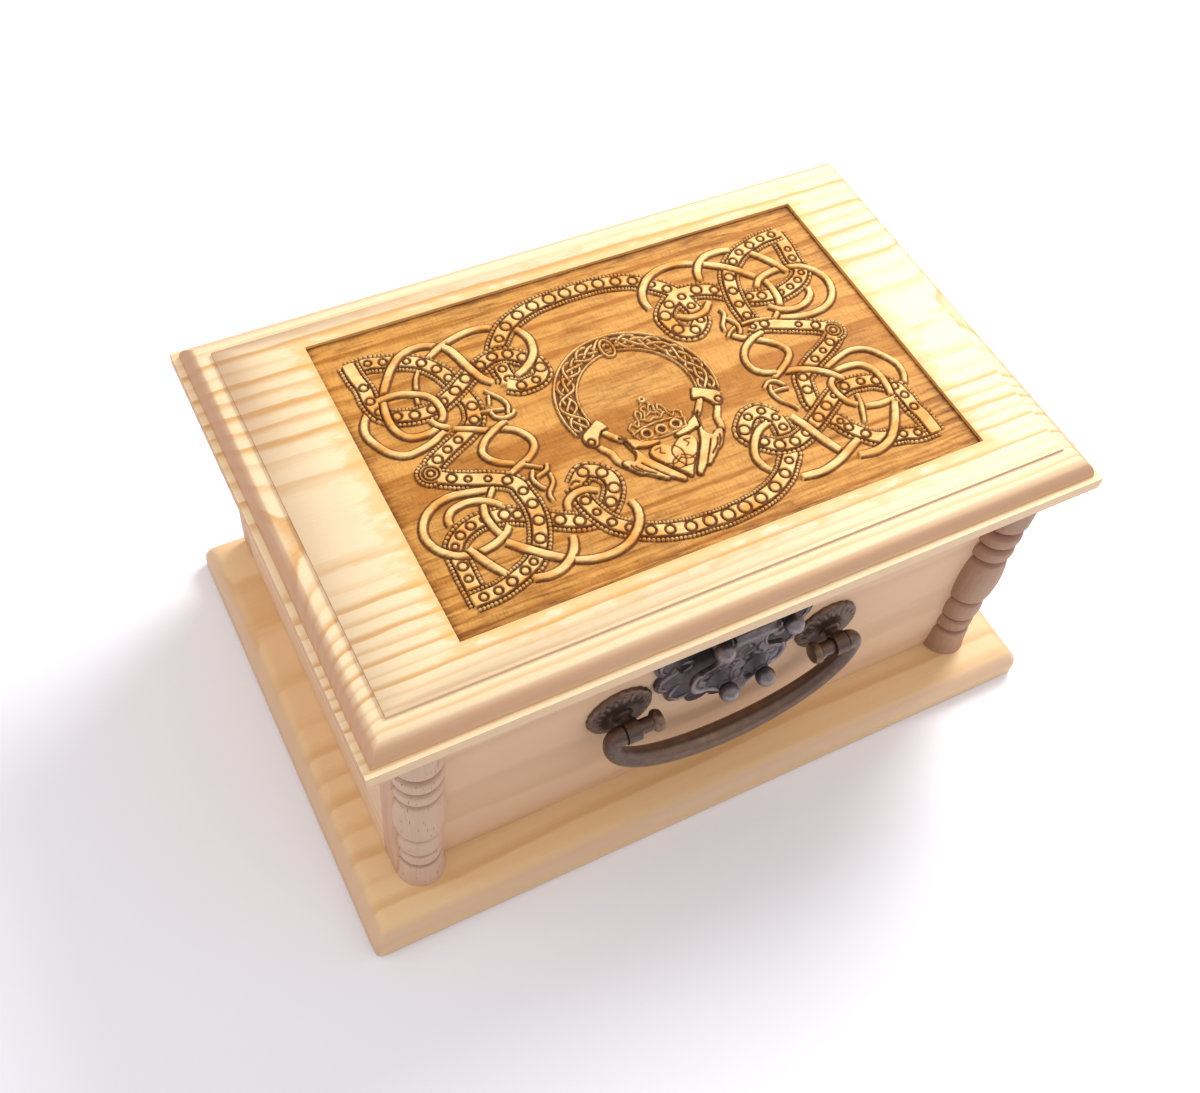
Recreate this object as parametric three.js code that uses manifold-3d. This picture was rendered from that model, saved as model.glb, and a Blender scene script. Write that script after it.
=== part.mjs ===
// A pine keepsake box with a moulded lid, two split turnings on its front, a drop handle
// and a hinged hasp. Millimetres, +Z up. The front faces -Y and the origin is under the middle.
import * as THREE from 'three';
import { mergeVertices } from 'three/addons/utils/BufferGeometryUtils.js';
import Module from 'manifold-3d';

const wasm = await Module();
wasm.setup();

// Clearances: between fitted pieces, round pins and screws, and how far a cutter passes a face
const FIT = 0.3;
const PIN_FIT = 0.3;
const CUT_PAST = 1;

// Facets round a circle: small holes and screws, plain bars, and the larger eyes and lobes
const SMALL_SIDES = 12;
const BAR_SIDES = 16;
const LARGE_SIDES = 24;

// The whole box stands on its base board, and the other boards are set in from the base's edges
const BASE_LENGTH = 227.5;
const BASE_DEPTH = 149.2;
const BASE_THICK = 10;
const BOX_HEIGHT = 105.7;
const BASE_EDGE_RADIUS = 6;
const BASE_CORNER_RADIUS = 2.4;
const BASE_EDGE_STEPS = 6;
const CORNER_STEPS = 3;

// Body of four boards, set back on the base to leave room for the turnings
const BODY_END_MARGIN = 13.25;
const BODY_FRONT_MARGIN = 17.5;
const BODY_BACK_MARGIN = 4.1;
const WALL_THICK = 8;

// Lid board: a lip, a ledge, a quarter-round and a step on all four edges, and a sunk panel
const LID_END_MARGIN = 3.75;
const LID_FRONT_MARGIN = 6.1;
const LID_THICK = 10.7;
const LID_LIP = 4.15;
const LID_LEDGE = 2;
const LID_STEP = 0.8;
const MOULD_WIDTH_ENDS = 9.3;
const MOULD_WIDTH_SIDES = 10;
const OVOLO_STEPS = 10;
const PANEL_MARGIN_LEFT = 33.2;
const PANEL_MARGIN_RIGHT = 29;
const PANEL_MARGIN_FRONT = 21.55;
const PANEL_MARGIN_BACK = 17.95;
const PANEL_SUNK = 1.2;

// Carving that stands off the floor of the sunk panel. Its lines are drawn for the back right
// quarter, as [out, back] from the middle of the knotwork, and mirrored into the other three.
const CARVING_LENGTH = 157.8;
const CARVING_DEPTH = 103.6;
const CARVING_RISE = 0.9;
const CARVING_X = 1;
const CARVING_Y = 1;
const BAND_HALF_WIDTH = 1.9;
const STRAND_HALF_WIDTH = 1;
const BANDS = [
	[ [ 63, 1.6 ], [ 56, 6.2 ], [ 46.3, 11 ], [ 44.2, 15.8 ], [ 43.9, 21 ], [ 45.3, 27 ],
		[ 47.5, 32.2 ], [ 51, 36.3 ], [ 58, 40 ], [ 70.3, 41.6 ] ],
	[ [ 69.3, 42.5 ], [ 68.7, 28.5 ], [ 66.2, 22.9 ], [ 59, 19.6 ], [ 49.5, 21.3 ], [ 42, 26 ],
		[ 35, 29.8 ], [ 30, 30.6 ], [ 24.4, 27.8 ], [ 21.3, 22.5 ], [ 23.7, 17.6 ], [ 28.5, 16.9 ] ],
	[ [ 28.5, 16.9 ], [ 30.8, 20.5 ], [ 30.6, 25.3 ], [ 27, 34.9 ], [ 18.9, 41.4 ], [ 10, 43.8 ],
		[ - 0.6, 44.4 ] ],
];
const STRANDS = [
	[ [ 53, 11.3 ], [ 58, 9.4 ], [ 63, 8.4 ], [ 69, 10 ], [ 72.5, 14 ], [ 73.8, 19 ],
		[ 72.3, 23.7 ], [ 68.5, 27.5 ], [ 60, 28 ] ],
	[ [ 48, 36.8 ], [ 41.5, 40 ], [ 34, 42.2 ], [ 27, 41.5 ], [ 22, 38.5 ], [ 19.2, 34 ],
		[ 19.2, 30 ], [ 22.5, 24.5 ], [ 28, 21.5 ] ],
];
const BAND_END = [ 63.9, 0.2 ];
const BAND_END_RADIUS = 3.2;

// Ring in the middle of the carving, open at the front, where two hands hold a crowned heart.
// The outlines are right halves, as [out, back] from the middle line of the ring.
const RING_X = - 0.5;
const RING_Y = 2.1;
const RING_OUTER_RADIUS = 23.4;
const RING_INNER_RADIUS = 16.8;
const RING_RISE = 0.6;
const RING_START = - 0.28;
const RING_STEPS = 9;
const HAND = [
	[ 20.6, - 7.3 ], [ 14.8, - 4.1 ], [ 13.4, - 7.3 ], [ 10.4, - 13.8 ], [ 2.7, - 17.1 ],
	[ 9, - 17.7 ], [ 7.9, - 21.5 ], [ 1.9, - 30.7 ], [ 3.2, - 31.3 ], [ 9.1, - 27.7 ],
	[ 13.6, - 23.5 ], [ 16.4, - 15.9 ], [ 19.8, - 11.8 ], [ 21.4, - 8.6 ],
];
const HEART = [ [ 0, - 20.4 ], [ 2.2, - 18.7 ], [ 5.2, - 18.3 ], [ 6.8, - 20.4 ], [ 5.4, - 23.9 ], [ 0, - 31.1 ] ];
const CROWN = [ [ 0, - 16 ], [ 7, - 15.1 ], [ 7.9, - 12.2 ], [ 6.4, - 8.9 ], [ 3.2, - 5.3 ], [ 0, - 2.2 ] ];

// Split turnings at the front corners: [height, swelled radius, end radius] from the foot up,
// and above them a cup that reaches the lid
const TURNING_INSET = 7.6;
const TURNING_SWELLS = [
	[ 11.2, 6.6, 6.4 ],
	[ 6.3, 6.3, 6.0 ],
	[ 10.3, 6.6, 5.9 ],
	[ 22.5, 7.5, 6.3 ],
	[ 7.0, 7.0, 6.2 ],
	[ 7.2, 7.1, 6.2 ],
];
const TURNING_GROOVE_RADIUS = 5.7;
const TURNING_GROOVE_HALF_WIDTH = 0.5;
const TURNING_CUP_RADIUS = 7.3;
const TURNING_CUP_ROUND = 4;
const TURNING_CURVE_STEPS = 3;

// Hinges
const HINGE_END_MARGIN = 35.5;
const HINGE_WIDTH = 24;
const HINGE_LEAF_THICK = 1;
const HINGE_KNUCKLE_RADIUS = 1.7;
const HINGE_PIN_RADIUS = 0.7;
const HINGE_PIN_HEAD_RADIUS = 1.2;
const HINGE_PIN_HEAD = 0.5;
const HINGE_BODY_LEAF_DROP = 14;
const HINGE_LID_LEAF_MARGIN = 0.8;
const HINGE_SCREW_SPACING = 15;
const HINGE_SCREW_LENGTH = 5.2;
const HINGE_SCREW_RADIUS = 0.8;
const HINGE_SCREW_HEAD_RADIUS = 1.6;
const HINGE_SCREW_SINK = 0.7;
const SCREW_POINT = 1;

// The front hardware sits a little right of centre, as it was fitted by hand. Its drops are
// measured down from the underside of the lid.
const HARDWARE_X = 0.5;

// Drop handle
const HANDLE_DROP = 38.7;
const HANDLE_SPACING = 68;
const ROSETTE_RADIUS = 10.2;
const ROSETTE_SCALLOPS = 20;
const ROSETTE_SCALLOP_DEPTH = 0.3;
const ROSETTE_SCALLOP_STEPS = 2;
const ROSETTE_DOME_STEPS = 4;
const ROSETTE_RIM = 0.7;
const ROSETTE_RISE = 2.6;
const ROSETTE_LAND_RADIUS = 3.7;
const EYE_STAND_OFF = 7.6;
const EYE_RADIUS = 3.3;
const EYE_WIDTH = 4.2;
const EYE_NECK_RADIUS = 2.2;
const EYE_FLANGE_RADIUS = 3.3;
const EYE_FLANGE_THICK = 0.8;
const SHANK_RADIUS = 1.7;
const WASHER_RADIUS = 4;
const WASHER_THICK = 0.8;
const NUT_ACROSS_FLATS = 5.5;
const NUT_THICK = 2.4;
const SHANK_PAST_NUT = 0.9;
const BAIL_DROP = 27;
const BAIL_GRIP_RADIUS = 3.5;
const BAIL_END_RADIUS = 2.75;
const BAIL_ELBOW_INSIDE = 0.2;
const BAIL_END_GAP = 0.35;
const BAIL_ELBOW_STEPS = 4;
const BAIL_BOW_STEPS = 24;
const BAIL_SIDES = 12;
const BAIL_PIN_RADIUS = 2.2;
const BAIL_SPIGOT_RADIUS = 1.2;
const BAIL_SPIGOT_LENGTH = 2.2;
const BAIL_KNOB_RADIUS = 3.3;
const BAIL_KNOB_THICK = 3.2;
const BAIL_KNOB_REACH = 9.5;

// Lock plate on the front board: round lobes as [across, drop, radius], from the top down
const PLATE_THICK = 1.2;
const PLATE_LOBES = [
	[ 15.5, 13.5, 6.5 ],
	[ 18, 22.5, 7.3 ],
	[ 18.2, 33, 5.8 ],
	[ 14, 40.7, 5.6 ],
	[ 7.8, 46.8, 4.4 ],
];
const PLATE_FOOT_DROP = 48.4;
const PLATE_FOOT_RADIUS = 4.6;
const PLATE_NAILS = [ [ 18.8, 27 ], [ 17.6, 13 ] ];
const NAIL_RADIUS = 0.6;
const NAIL_HEAD_RADIUS = 1.4;
const NAIL_HEAD_RISE = 0.7;
const NAIL_LENGTH = 6;

// Stud on the lock plate that the hasp rests against
const STUD_DROP = 35;
const STUD_RADIUS = 2;
const STUD_SHANK_RADIUS = 0.9;
const STUD_SHANK_LENGTH = 5;

// Hasp: a bracket screwed up into the lid, a pin, and a flap that hangs from it
const HASP_AXIS_DROP = 10.9;
const HASP_AXIS_STAND_OFF = 6.8;
const BRACKET_STAND_OFF = 2.4;
const BRACKET_THICK = 1.2;
const BRACKET_WIDTH = 30;
const BRACKET_REACH = 10.2;
const BRACKET_DROP = 15;
const BRACKET_FOOT_ROUND = 4;
const EAR_THICK = 0.8;
const EAR_RADIUS = 1.6;
const HASP_PIN_RADIUS = 0.8;
const KNUCKLE_RADIUS = 2.4;
const KNUCKLE_LENGTH = 13.1;
const BRACKET_SCREW_SPACING = 20;
const BRACKET_SCREW_STAND_OFF = 7.2;
const BRACKET_SCREW_RADIUS = 0.9;
const BRACKET_SCREW_HEAD_RADIUS = 1.9;
const BRACKET_SCREW_HEAD_RISE = 0.9;
const BRACKET_SCREW_LENGTH = 5;

// Flap of the hasp: a neck, two broad wings, and a point that turns up for a fingertip
const FLAP_THICK = 1.3;
const FLAP_BACK = 4.6;
const FLAP_NECK_HALF_WIDTH = 6.5;
const FLAP_NECK_BACK = 5.7;
const FLAP_NECK_DROP = 17.5;
const FLAP_SHOULDER_DROP = 26;
const FLAP_SHOULDER_HALF_WIDTH = 11.5;
const FLAP_WING_DROP = 31.2;
const FLAP_WING_HALF_WIDTH = 15.3;
const FLAP_FOOT_DROP = 37.4;
const FLAP_FOOT_HALF_WIDTH = 9.5;
const FLAP_TIP_DROP = 40.1;
const FLAP_TIP_HALF_WIDTH = 0.6;
const FLAP_TIP_LIFT = 2.6;
const FLAP_CURVE_STEPS = 5;

// Ball-headed pegs, two riveted to the bracket and two to the flap
const PEG_BALL_RADIUS = 2.9;
const PEG_NECK_RADIUS = 2.3;
const PEG_RIVET_RADIUS = 1.2;
const PEG_BALL_STEPS = 4;
const PEG_BELL_STEPS = 3;
const UPPER_PEG_SPACING = 21.4;
const UPPER_PEG_DROP = 10;
const UPPER_PEG_LENGTH = 9;
const UPPER_PEG_BASE_RADIUS = 2.6;
const LOWER_PEG_SPACING = 11.8;
const LOWER_PEG_DROP = 32.6;
const LOWER_PEG_LENGTH = 7.8;
const LOWER_PEG_BASE_RADIUS = 4.5;

// Places that follow from the sizes above
const BODY_LENGTH = BASE_LENGTH - 2 * BODY_END_MARGIN;
const BODY_DEPTH = BASE_DEPTH - BODY_FRONT_MARGIN - BODY_BACK_MARGIN;
const BODY_HEIGHT = BOX_HEIGHT - BASE_THICK - LID_THICK;
const BODY_BACK_Y = BASE_DEPTH / 2 - BODY_BACK_MARGIN;
const BODY_FRONT_Y = BODY_BACK_Y - BODY_DEPTH;
const BODY_TOP_Z = BASE_THICK + BODY_HEIGHT;
const LID_LENGTH = BASE_LENGTH - 2 * LID_END_MARGIN;
const LID_DEPTH = BASE_DEPTH - LID_FRONT_MARGIN;
const LID_CENTRE_Y = LID_FRONT_MARGIN / 2;
const PANEL_LENGTH = LID_LENGTH - PANEL_MARGIN_LEFT - PANEL_MARGIN_RIGHT;
const PANEL_DEPTH = LID_DEPTH - PANEL_MARGIN_FRONT - PANEL_MARGIN_BACK;
const PANEL_OFFSET_X = ( PANEL_MARGIN_LEFT - PANEL_MARGIN_RIGHT ) / 2;
const PANEL_OFFSET_Y = ( PANEL_MARGIN_FRONT - PANEL_MARGIN_BACK ) / 2;
const HINGE_SPACING = BODY_LENGTH - 2 * HINGE_END_MARGIN;
const HINGE_SEAT = HINGE_KNUCKLE_RADIUS + FIT;
const HINGE_AXIS_Y = BODY_BACK_Y + HINGE_SEAT;
const HINGE_AXIS_Z = BODY_TOP_Z - HINGE_SEAT;
const HINGE_LID_SCREW_Y = - HINGE_SEAT - WALL_THICK / 2;
const HINGE_LID_LEAF_REACH = HINGE_SEAT + WALL_THICK - HINGE_LID_LEAF_MARGIN;
const HINGE_BODY_SCREW_Z = - ( HINGE_KNUCKLE_RADIUS + HINGE_BODY_LEAF_DROP ) / 2;
const HANDLE_HEIGHT = BODY_TOP_Z - HANDLE_DROP;
const STUD_HEIGHT = BODY_TOP_Z - STUD_DROP;
const LOBES = PLATE_LOBES.map( ( [ across, drop, radius ] ) => [ across, BODY_TOP_Z - drop, radius ] );
const PLATE_FOOT_HEIGHT = BODY_TOP_Z - PLATE_FOOT_DROP;
const NAIL_PLACES = PLATE_NAILS.map( ( [ across, drop ] ) => [ across, BODY_TOP_Z - drop ] );
const HASP_AXIS_HEIGHT = BODY_TOP_Z - HASP_AXIS_DROP;
const BRACKET_FACE = BRACKET_STAND_OFF + BRACKET_THICK;
const UPPER_PEG_RISE = HASP_AXIS_DROP - UPPER_PEG_DROP;
const LOWER_PEG_FALL = LOWER_PEG_DROP - HASP_AXIS_DROP;
const HINGE_SCREW_DEPTH = HINGE_SCREW_LENGTH - HINGE_LEAF_THICK;
const SIDES = [ - 1, 1 ];
const HINGE_SCREWS_X = SIDES.flatMap( ( hinge ) => SIDES.map( ( side ) => {

	return hinge * HINGE_SPACING / 2 + side * HINGE_SCREW_SPACING / 2;

} ) );
const SIDE_NAMES = new Map( [ [ - 1, 'left' ], [ 1, 'right' ] ] );

const pine = new THREE.MeshStandardMaterial( { color: 0xe9c48f, roughness: 0.75, metalness: 0 } );
const palePine = new THREE.MeshStandardMaterial( { color: 0xe8c7a6, roughness: 0.78, metalness: 0 } );
const basePine = new THREE.MeshStandardMaterial( { color: 0xe6b878, roughness: 0.75, metalness: 0 } );
const turnedPine = new THREE.MeshStandardMaterial( { color: 0xc9a68a, roughness: 0.8, metalness: 0 } );
const bronze = new THREE.MeshStandardMaterial( { color: 0x4d4239, roughness: 0.45, metalness: 0.85 } );
const plateBronze = new THREE.MeshStandardMaterial( { color: 0x5a5754, roughness: 0.5, metalness: 0.8 } );
const steel = new THREE.MeshStandardMaterial( { color: 0x9a9a96, roughness: 0.4, metalness: 0.9 } );
const brass = new THREE.MeshStandardMaterial( { color: 0xb08d4a, roughness: 0.4, metalness: 0.9 } );

// Solids, joins and cuts

function solid( geometry ) {

	const bare = geometry.clone();
	bare.deleteAttribute( 'normal' );
	bare.deleteAttribute( 'uv' );
	const merged = mergeVertices( bare, 1e-4 );
	return new wasm.Manifold( new wasm.Mesh( {
		numProp: 3,
		vertProperties: merged.attributes.position.array,
		triVerts: Uint32Array.from( merged.index.array ),
	} ) );

}

function geometryOf( manifold ) {

	const mesh = manifold.getMesh();
	const geometry = new THREE.BufferGeometry();
	geometry.setAttribute( 'position', new THREE.BufferAttribute( mesh.vertProperties, 3 ) );
	geometry.setIndex( new THREE.BufferAttribute( mesh.triVerts, 1 ) );
	geometry.computeVertexNormals();
	return geometry;

}

function cut( geometry, ...tools ) {

	return geometryOf( tools.reduce( ( body, tool ) => body.subtract( solid( tool ) ), solid( geometry ) ) );

}

function join( geometry, ...others ) {

	return geometryOf( others.reduce( ( body, other ) => body.add( solid( other ) ), solid( geometry ) ) );

}

// A box between two values on each axis
function block( x0, x1, y0, y1, z0, z1 ) {

	const geometry = new THREE.BoxGeometry( x1 - x0, y1 - y0, z1 - z0 );
	return geometry.translate( ( x0 + x1 ) / 2, ( y0 + y1 ) / 2, ( z0 + z1 ) / 2 );

}

// Round bars along one axis, between two values on it, in either order
function barX( radius, x0, x1, y, z, sides = BAR_SIDES ) {

	const geometry = new THREE.CylinderGeometry( radius, radius, Math.abs( x1 - x0 ), sides );
	return geometry.rotateZ( Math.PI / 2 ).translate( ( x0 + x1 ) / 2, y, z );

}

function barY( radius, y0, y1, x, z, sides = BAR_SIDES ) {

	const geometry = new THREE.CylinderGeometry( radius, radius, Math.abs( y1 - y0 ), sides );
	return geometry.translate( x, ( y0 + y1 ) / 2, z );

}

function barZ( radius, z0, z1, x, y, sides = BAR_SIDES ) {

	const geometry = new THREE.CylinderGeometry( radius, radius, Math.abs( z1 - z0 ), sides );
	return geometry.rotateX( Math.PI / 2 ).translate( x, y, ( z0 + z1 ) / 2 );

}

// A turning from [radius, distance along the axis] pairs, in rising order
function turned( points, sides = BAR_SIDES ) {

	const profile = points.map( ( [ radius, along ] ) => new THREE.Vector2( radius, along ) );
	return new THREE.LatheGeometry( profile, sides );

}

// A turning's axis starts along +Y: these point it up, or out of the front of the box
const upright = ( geometry ) => geometry.rotateX( Math.PI / 2 );
const outward = ( geometry ) => geometry.rotateX( Math.PI );

// Closed skin over rings of equal length. Seen from the last ring, each runs counter-clockwise.
function loft( rings ) {

	const count = rings[ 0 ].length;
	const sumOf = ( ring ) => ring.reduce( ( sum, point ) => sum.add( point ), new THREE.Vector3() );
	const centreOf = ( ring ) => sumOf( ring ).divideScalar( count );
	const points = [ ...rings.flat(), centreOf( rings[ 0 ] ), centreOf( rings.at( - 1 ) ) ];
	const firstCentre = rings.length * count;
	const lastCentre = firstCentre + 1;
	const lastRing = firstCentre - count;
	const index = [];
	for ( let i = 0; i < count; i ++ ) {

		const next = ( i + 1 ) % count;
		index.push( firstCentre, next, i, lastCentre, lastRing + i, lastRing + next );
		for ( let start = 0; start < lastRing; start += count ) {

			const a = start + i;
			const b = start + next;
			index.push( a, b, b + count, a, b + count, a + count );

		}

	}

	const geometry = new THREE.BufferGeometry().setFromPoints( points );
	geometry.setIndex( index );
	geometry.computeVertexNormals();
	return geometry;

}

function rectangleRing( halfX, halfY, z, centreX = 0, centreY = 0 ) {

	const corners = [ [ - 1, - 1 ], [ 1, - 1 ], [ 1, 1 ], [ - 1, 1 ] ];
	return corners.map( ( [ sx, sy ] ) => new THREE.Vector3( centreX + sx * halfX, centreY + sy * halfY, z ) );

}

function roundedRing( halfX, halfY, radius, z ) {

	const corners = [ [ - 1, - 1 ], [ 1, - 1 ], [ 1, 1 ], [ - 1, 1 ] ];
	return corners.flatMap( ( [ sx, sy ], corner ) => Array.from( { length: CORNER_STEPS + 1 }, ( _, i ) => {

		const angle = Math.PI + ( corner + i / CORNER_STEPS ) * Math.PI / 2;
		const x = sx * ( halfX - radius ) + radius * Math.cos( angle );
		const y = sy * ( halfY - radius ) + radius * Math.sin( angle );
		return new THREE.Vector3( x, y, z );

	} ) );

}

// Base board: rounded corners, and a quarter-round along the top edge

function baseBoard() {

	const edge = Array.from( { length: BASE_EDGE_STEPS + 1 }, ( _, i ) => {

		const angle = i / BASE_EDGE_STEPS * Math.PI / 2;
		const inset = BASE_EDGE_RADIUS * ( 1 - Math.cos( angle ) );
		return [ inset, BASE_THICK - BASE_EDGE_RADIUS * ( 1 - Math.sin( angle ) ) ];

	} );
	return loft( [ [ 0, 0 ], ...edge ].map( ( [ inset, z ] ) => {

		const radius = BASE_CORNER_RADIUS * ( 1 - inset / BASE_EDGE_RADIUS / 2 );
		return roundedRing( BASE_LENGTH / 2 - inset, BASE_DEPTH / 2 - inset, radius, z );

	} ) );

}

// Carving, drawn from the middle of the lid board's underside

function stripOutline( points, halfWidth ) {

	const line = new THREE.SplineCurve( points.map( ( point ) => new THREE.Vector2( ...point ) ) );
	const edge = ( side ) => points.map( ( [ x, y ], i ) => {

		const along = line.getTangent( i / ( points.length - 1 ) );
		return [ x - side * halfWidth * along.y, y + side * halfWidth * along.x ];

	} );
	return [ ...edge( 1 ), ...edge( - 1 ).reverse() ];

}

// A raised shape inside an outline, sunk a little into the floor of the panel that it stands on
function raised( outline, rise = CARVING_RISE ) {

	const shape = new THREE.Shape( outline.map( ( point ) => new THREE.Vector2( ...point ) ) );
	const geometry = new THREE.ExtrudeGeometry( shape, { depth: FIT + rise, bevelEnabled: false } );
	return geometry.translate( 0, 0, LID_THICK - PANEL_SUNK - FIT );

}

function ringOutline() {

	const arc = ( radius ) => Array.from( { length: 2 * RING_STEPS + 1 }, ( _, i ) => {

		const angle = RING_START + i / ( 2 * RING_STEPS ) * ( Math.PI - 2 * RING_START );
		return [ radius * Math.cos( angle ), radius * Math.sin( angle ) ];

	} );
	return [ ...arc( RING_OUTER_RADIUS ), ...arc( RING_INNER_RADIUS ).reverse() ];

}

function carving() {

	const scaleX = PANEL_LENGTH / CARVING_LENGTH;
	const scaleY = PANEL_DEPTH / CARVING_DEPTH;
	const placed = ( outline, x = 0, y = 0, side = 1, end = 1 ) => outline.map( ( [ out, back ] ) => {

		return [ ( CARVING_X + x + side * out ) * scaleX, ( CARVING_Y + y + end * back ) * scaleY ];

	} );
	const quarters = SIDES.flatMap( ( side ) => SIDES.flatMap( ( end ) => [
		...BANDS.map( ( line ) => stripOutline( placed( line, 0, 0, side, end ), BAND_HALF_WIDTH ) ),
		...STRANDS.map( ( line ) => stripOutline( placed( line, 0, 0, side, end ), STRAND_HALF_WIDTH ) ),
	] ) );
	const emblem = [ HEART, CROWN ].map( ( half ) => {

		const left = half.slice( 1, - 1 ).map( ( [ out, back ] ) => [ - out, back ] );
		return placed( [ ...half, ...left.reverse() ], RING_X, RING_Y );

	} );
	const hands = SIDES.map( ( side ) => placed( HAND, RING_X, RING_Y, side ) );
	const floor = LID_THICK - PANEL_SUNK;
	const bandEnds = SIDES.map( ( side ) => {

		const [ [ x, y ] ] = placed( [ BAND_END ], 0, 0, side );
		return barZ( BAND_END_RADIUS, floor - FIT, floor + CARVING_RISE, x, y, SMALL_SIDES );

	} );
	const ring = raised( placed( ringOutline(), RING_X, RING_Y ), RING_RISE );
	return [ ...[ ...quarters, ...emblem, ...hands ].map( ( outline ) => raised( outline ) ), ...bandEnds, ring ];

}

// Lid board, drawn from the middle of its underside

function lidBoard() {

	const ring = ( insetX, insetY, z ) => rectangleRing( LID_LENGTH / 2 - insetX, LID_DEPTH / 2 - insetY, z );
	const shoulder = LID_THICK - LID_STEP;
	const ovolo = Array.from( { length: OVOLO_STEPS + 1 }, ( _, i ) => {

		const angle = i / OVOLO_STEPS * Math.PI / 2;
		const across = 1 - Math.cos( angle );
		return ring(
			LID_LEDGE + ( MOULD_WIDTH_ENDS - LID_LEDGE ) * across,
			LID_LEDGE + ( MOULD_WIDTH_SIDES - LID_LEDGE ) * across,
			LID_LIP + ( shoulder - LID_LIP ) * Math.sin( angle ),
		);

	} );
	const panel = ( z ) => {

		return rectangleRing( PANEL_LENGTH / 2, PANEL_DEPTH / 2, z, PANEL_OFFSET_X, PANEL_OFFSET_Y );

	};
	const board = loft( [
		ring( 0, 0, 0 ),
		ring( 0, 0, LID_LIP ),
		...ovolo,
		ring( MOULD_WIDTH_ENDS, MOULD_WIDTH_SIDES, LID_THICK ),
		panel( LID_THICK ),
		panel( LID_THICK - PANEL_SUNK ),
	] );
	const hingeHoles = HINGE_SCREWS_X.map( ( x ) => {

		const y = HINGE_AXIS_Y + HINGE_LID_SCREW_Y - LID_CENTRE_Y;
		return barZ( HINGE_SCREW_RADIUS + PIN_FIT, - CUT_PAST, HINGE_SCREW_DEPTH + FIT, x, y, SMALL_SIDES );

	} );
	const bracketHoles = SIDES.map( ( side ) => {

		const x = HARDWARE_X + side * BRACKET_SCREW_SPACING / 2;
		const y = BODY_FRONT_Y - BRACKET_SCREW_STAND_OFF - LID_CENTRE_Y;
		const depth = BRACKET_SCREW_LENGTH - BRACKET_THICK + FIT;
		return barZ( BRACKET_SCREW_RADIUS + PIN_FIT, - CUT_PAST, depth, x, y, SMALL_SIDES );

	} );
	return cut( join( board, ...carving() ), ...hingeHoles, ...bracketHoles );

}

// Body boards, drawn from the foot of the face that each shows outside

function frontBoard() {

	const board = block( - BODY_LENGTH / 2, BODY_LENGTH / 2, 0, WALL_THICK, 0, BODY_HEIGHT );
	const shankHoles = SIDES.map( ( side ) => {

		const x = HARDWARE_X + side * HANDLE_SPACING / 2;
		return barY( SHANK_RADIUS + PIN_FIT, - CUT_PAST, WALL_THICK + CUT_PAST, x, HANDLE_HEIGHT - BASE_THICK );

	} );
	const nailHoles = NAIL_PLACES.flatMap( ( [ across, height ] ) => SIDES.map( ( side ) => {

		const depth = NAIL_LENGTH - PLATE_THICK + FIT;
		const x = HARDWARE_X + side * across;
		return barY( NAIL_RADIUS + PIN_FIT, - CUT_PAST, depth, x, height - BASE_THICK, SMALL_SIDES );

	} ) );
	const studDepth = STUD_SHANK_LENGTH - PLATE_THICK + FIT;
	const studRadius = STUD_SHANK_RADIUS + PIN_FIT;
	const studZ = STUD_HEIGHT - BASE_THICK;
	const studHole = barY( studRadius, - CUT_PAST, studDepth, HARDWARE_X, studZ, SMALL_SIDES );
	return cut( board, ...shankHoles, ...nailHoles, studHole );

}

function backBoard() {

	const board = block( - BODY_LENGTH / 2, BODY_LENGTH / 2, - WALL_THICK, 0, 0, BODY_HEIGHT );
	const mortises = SIDES.map( ( side ) => {

		const x = side * HINGE_SPACING / 2;
		const half = HINGE_WIDTH / 2 + FIT;
		const front = HINGE_SEAT - HINGE_LID_LEAF_REACH - FIT;
		const floor = BODY_HEIGHT - HINGE_LEAF_THICK - FIT;
		return block( x - half, x + half, front, CUT_PAST, floor, BODY_HEIGHT + CUT_PAST );

	} );
	const screwHoles = HINGE_SCREWS_X.map( ( x ) => {

		const z = HINGE_AXIS_Z + HINGE_BODY_SCREW_Z - BASE_THICK;
		return barY( HINGE_SCREW_RADIUS + PIN_FIT, - HINGE_SCREW_DEPTH - FIT, CUT_PAST, x, z, SMALL_SIDES );

	} );
	return cut( board, ...mortises, ...screwHoles );

}

const endBoard = () => block( 0, WALL_THICK, WALL_THICK, BODY_DEPTH - WALL_THICK, 0, BODY_HEIGHT );

// Split turning: a full turning with its back half cut away

function splitTurning() {

	const height = BODY_HEIGHT - FIT;
	const half = TURNING_GROOVE_HALF_WIDTH;
	const profile = new THREE.Path();
	let z = 0;
	profile.moveTo( 0, 0 );
	for ( const [ tall, swelled, end ] of TURNING_SWELLS ) {

		profile.lineTo( z > 0 ? TURNING_GROOVE_RADIUS : end, z );
		profile.lineTo( end, z + half );
		profile.quadraticCurveTo( 2 * swelled - end, z + tall / 2, end, z + tall - half );
		z += tall;

	}

	profile.lineTo( TURNING_GROOVE_RADIUS, z );
	profile.quadraticCurveTo( TURNING_CUP_RADIUS, z, TURNING_CUP_RADIUS, z + TURNING_CUP_ROUND );
	profile.lineTo( TURNING_CUP_RADIUS, height );
	profile.lineTo( 0, height );
	const full = upright( new THREE.LatheGeometry( profile.getPoints( TURNING_CURVE_STEPS ), LARGE_SIDES ) );
	return cut( full, block( - BODY_LENGTH, BODY_LENGTH, 0, BODY_LENGTH, - CUT_PAST, height + CUT_PAST ) );

}

// Hinges, drawn about their axis. The middle knuckle is the lid leaf's, the outer two the body leaf's.

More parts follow.
